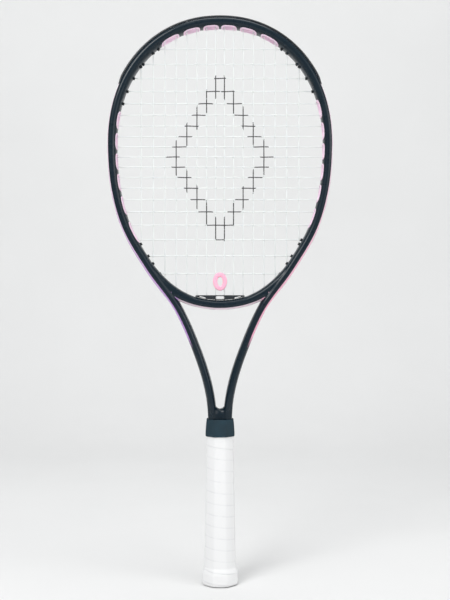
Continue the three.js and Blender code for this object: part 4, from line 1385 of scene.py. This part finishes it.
class RACKET_OT_collar(bpy.types.Operator):
    """Make the rubber collar that covers the top of the grip"""
    bl_idname = "racket.collar"
    bl_label = "Collar"

    def execute(self, context):
        low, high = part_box("rubber_collar")
        bottom, top = low[2] / MM, high[2] / MM
        # Outer profile up, lip over the top, then down the inside, as (flat radius, height) pairs.
        profile = [(16.95, bottom + 0.2), (17.3, bottom), (17.55, bottom + 0.5), (17.58, bottom + 2.5),
                   (17.45, bottom + 6), (17.2, bottom + 10), (16.9, bottom + 14), (16.55,
                                                                                   bottom + 17.2),
                   (16.35, top - 1.9), (16.4, top - 1.0), (16.2, top - 0.25), (15.75, top),
                   (15.3, top - 0.15), (15.05, top - 0.6), (15.05, 188), (16.95, 187), (16.9,
                                                                                        bottom + 1.5)]
        sides = 96
        bm = bmesh.new()
        loops = []
        for radius, z in profile:
            loops.append([Vector((radius * r * math.cos(a),
                                  radius * r * math.sin(a) * HANDLE_FLATNESS, z))
                          for a, r in ((2 * math.pi * k / sides,
                                        octagon_radius(2 * math.pi * k / sides,
                                                       0.25)) for k in range(sides))])
        loft(bm, loops, closed=True)
        piece = new_object("grip_collar", bm, [collar_material()], angle=math.radians(50))
        finish_piece(piece, "dark_rubber", "rubber_collar", body="collar")
        return {"FINISHED"}


class RACKET_OT_hidden_parts(bpy.types.Operator):
    """Give the parts inside the handle their own finishes"""
    bl_idname = "racket.hidden_parts"
    bl_label = "Inner Parts"

    def execute(self, context):
        tones = palette()
        foam = plain_material("pallet_foam", tones.foam, 0.85, 0.0002, grain=900.0)
        base = plain_material("grey_grip", tones.base, 0.8, 0.00015)
        steel = plain_material("staple_steel", (0.62, 0.63, 0.65), 0.3, 0.00002, metallic=1.0)
        tape = plain_material("tape_film", (0.03, 0.035, 0.04), 0.35, 0.00004)
        cap = plastic_material()
        finishes = {
            "pallet_front": foam, "pallet_back": foam, "base_grip": base, "staple_left": steel,
            "staple_right": steel, "finishing_tape": tape, "butt_cap": cap, "butt_cap_door": cap,
        }
        for name, material in finishes.items():
            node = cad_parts[name]
            for slot in node.material_slots:
                slot.material = material
        return {"FINISHED"}


# ---- stage ----
def area_light(name, place, aim, size, power, tint=(1, 1, 1)):
    lamp = bpy.data.lights.new(name, "AREA")
    lamp.shape = "DISK"
    lamp.size = size
    lamp.energy = power
    lamp.color = tint
    holder = bpy.data.objects.new(name, lamp)
    bpy.context.scene.collection.objects.link(holder)
    holder.location = place
    holder.rotation_euler = (Vector(aim) - Vector(place)).to_track_quat("-Z", "Y").to_euler()
    return holder


class RACKET_OT_stage(bpy.types.Operator):
    """Set up the floor, backdrop, lamps, world and camera"""
    bl_idname = "racket.stage"
    bl_label = "Stage"

    def execute(self, context):
        scene = context.scene
        bm = bmesh.new()
        profile = [Vector((-4, -4, 0)), Vector((-4, 0.9, 0))]
        for i in range(1, 13):
            angle = math.pi / 2 * i / 12
            profile.append(Vector((-4, 0.9 + 0.6 * math.sin(angle), 0.6 - 0.6 * math.cos(angle))))
        profile.append(Vector((-4, 1.5, 5)))
        verts = [bm.verts.new(point) for point in profile]
        edges = [bm.edges.new(pair) for pair in zip(verts, verts[1:])]
        grown = bmesh.ops.extrude_edge_only(bm, edges=edges)["geom"]
        moved = [item for item in grown if isinstance(item, bmesh.types.BMVert)]
        bmesh.ops.translate(bm, vec=(8, 0, 0), verts=moved)
        mesh = bpy.data.meshes.new("stage")
        bm.to_mesh(mesh)
        bm.free()
        mesh.materials.append(stage_material())
        mesh.shade_smooth()
        floor = bpy.data.objects.new("stage", mesh)
        scene.collection.objects.link(floor)

        area_light("key", (-1.1, -1.7, 1.9), (0, 0, 0.4), 1.3, 34)
        area_light("fill", (1.5, -1.6, 1.1), (0, 0, 0.35), 1.8, 12)
        area_light("top", (0.1, -0.2, 2.4), (0, 0, 0.3), 1.4, 14)
        area_light("window", (1.5, -0.7, 0.9), (0, 0, 0.5), 0.5, 2.5)
        world = bpy.data.worlds.new("studio")
        world.use_nodes = True
        world.node_tree.nodes["Background"].inputs["Color"].default_value = (0.9, 0.92, 0.94, 1)
        world.node_tree.nodes["Background"].inputs["Strength"].default_value = 0.53
        scene.world = world
        scene.view_settings.view_transform = "Standard"

        eye = bpy.data.cameras.new("camera")
        eye.sensor_width = 36
        eye.sensor_fit = "VERTICAL"
        eye.sensor_height = 36
        eye.lens = 52.8
        camera = bpy.data.objects.new("camera", eye)
        camera.location = (0.006, -1.065, 0.343)
        camera.rotation_euler = (math.pi / 2, 0, 0)
        scene.collection.objects.link(camera)
        scene.camera = camera
        return {"FINISHED"}


class RACKET_PT_panel(bpy.types.Panel):
    """Lists the pieces of the racket, its sizes and its colours"""
    bl_idname = "RACKET_PT_panel"
    bl_label = "Tennis Racket"
    bl_space_type = "VIEW_3D"
    bl_region_type = "UI"
    bl_category = "Racket"

    def draw(self, context):
        layout = self.layout
        for operator in OPERATORS:
            layout.operator(operator.bl_idname)
        for group in (context.scene.racket_sizes, context.scene.racket_colours):
            column_box = layout.column()
            for name in group.__annotations__:
                column_box.prop(group, name)


OPERATORS = (
    RACKET_OT_stage,
    RACKET_OT_frame,
    RACKET_OT_port_liners,
    RACKET_OT_bumper,
    RACKET_OT_grommets,
    RACKET_OT_bridge_spacer,
    RACKET_OT_main_string,
    RACKET_OT_cross_string,
    RACKET_OT_dampener,
    RACKET_OT_overgrip,
    RACKET_OT_collar,
    RACKET_OT_hidden_parts,
)
CLASSES = (RacketSizes, RacketColours, *OPERATORS, RACKET_PT_panel)


def register():
    for cls in CLASSES:
        bpy.utils.register_class(cls)
    bpy.types.Scene.racket_sizes = PointerProperty(type=RacketSizes)
    bpy.types.Scene.racket_colours = PointerProperty(type=RacketColours)


def unregister():
    del bpy.types.Scene.racket_colours
    del bpy.types.Scene.racket_sizes
    for cls in reversed(CLASSES):
        bpy.utils.unregister_class(cls)


def main():
    register()
    for operator in OPERATORS:
        group, name = operator.bl_idname.split(".")
        getattr(getattr(bpy.ops, group), name)()


if __name__ == "__main__":
    main()
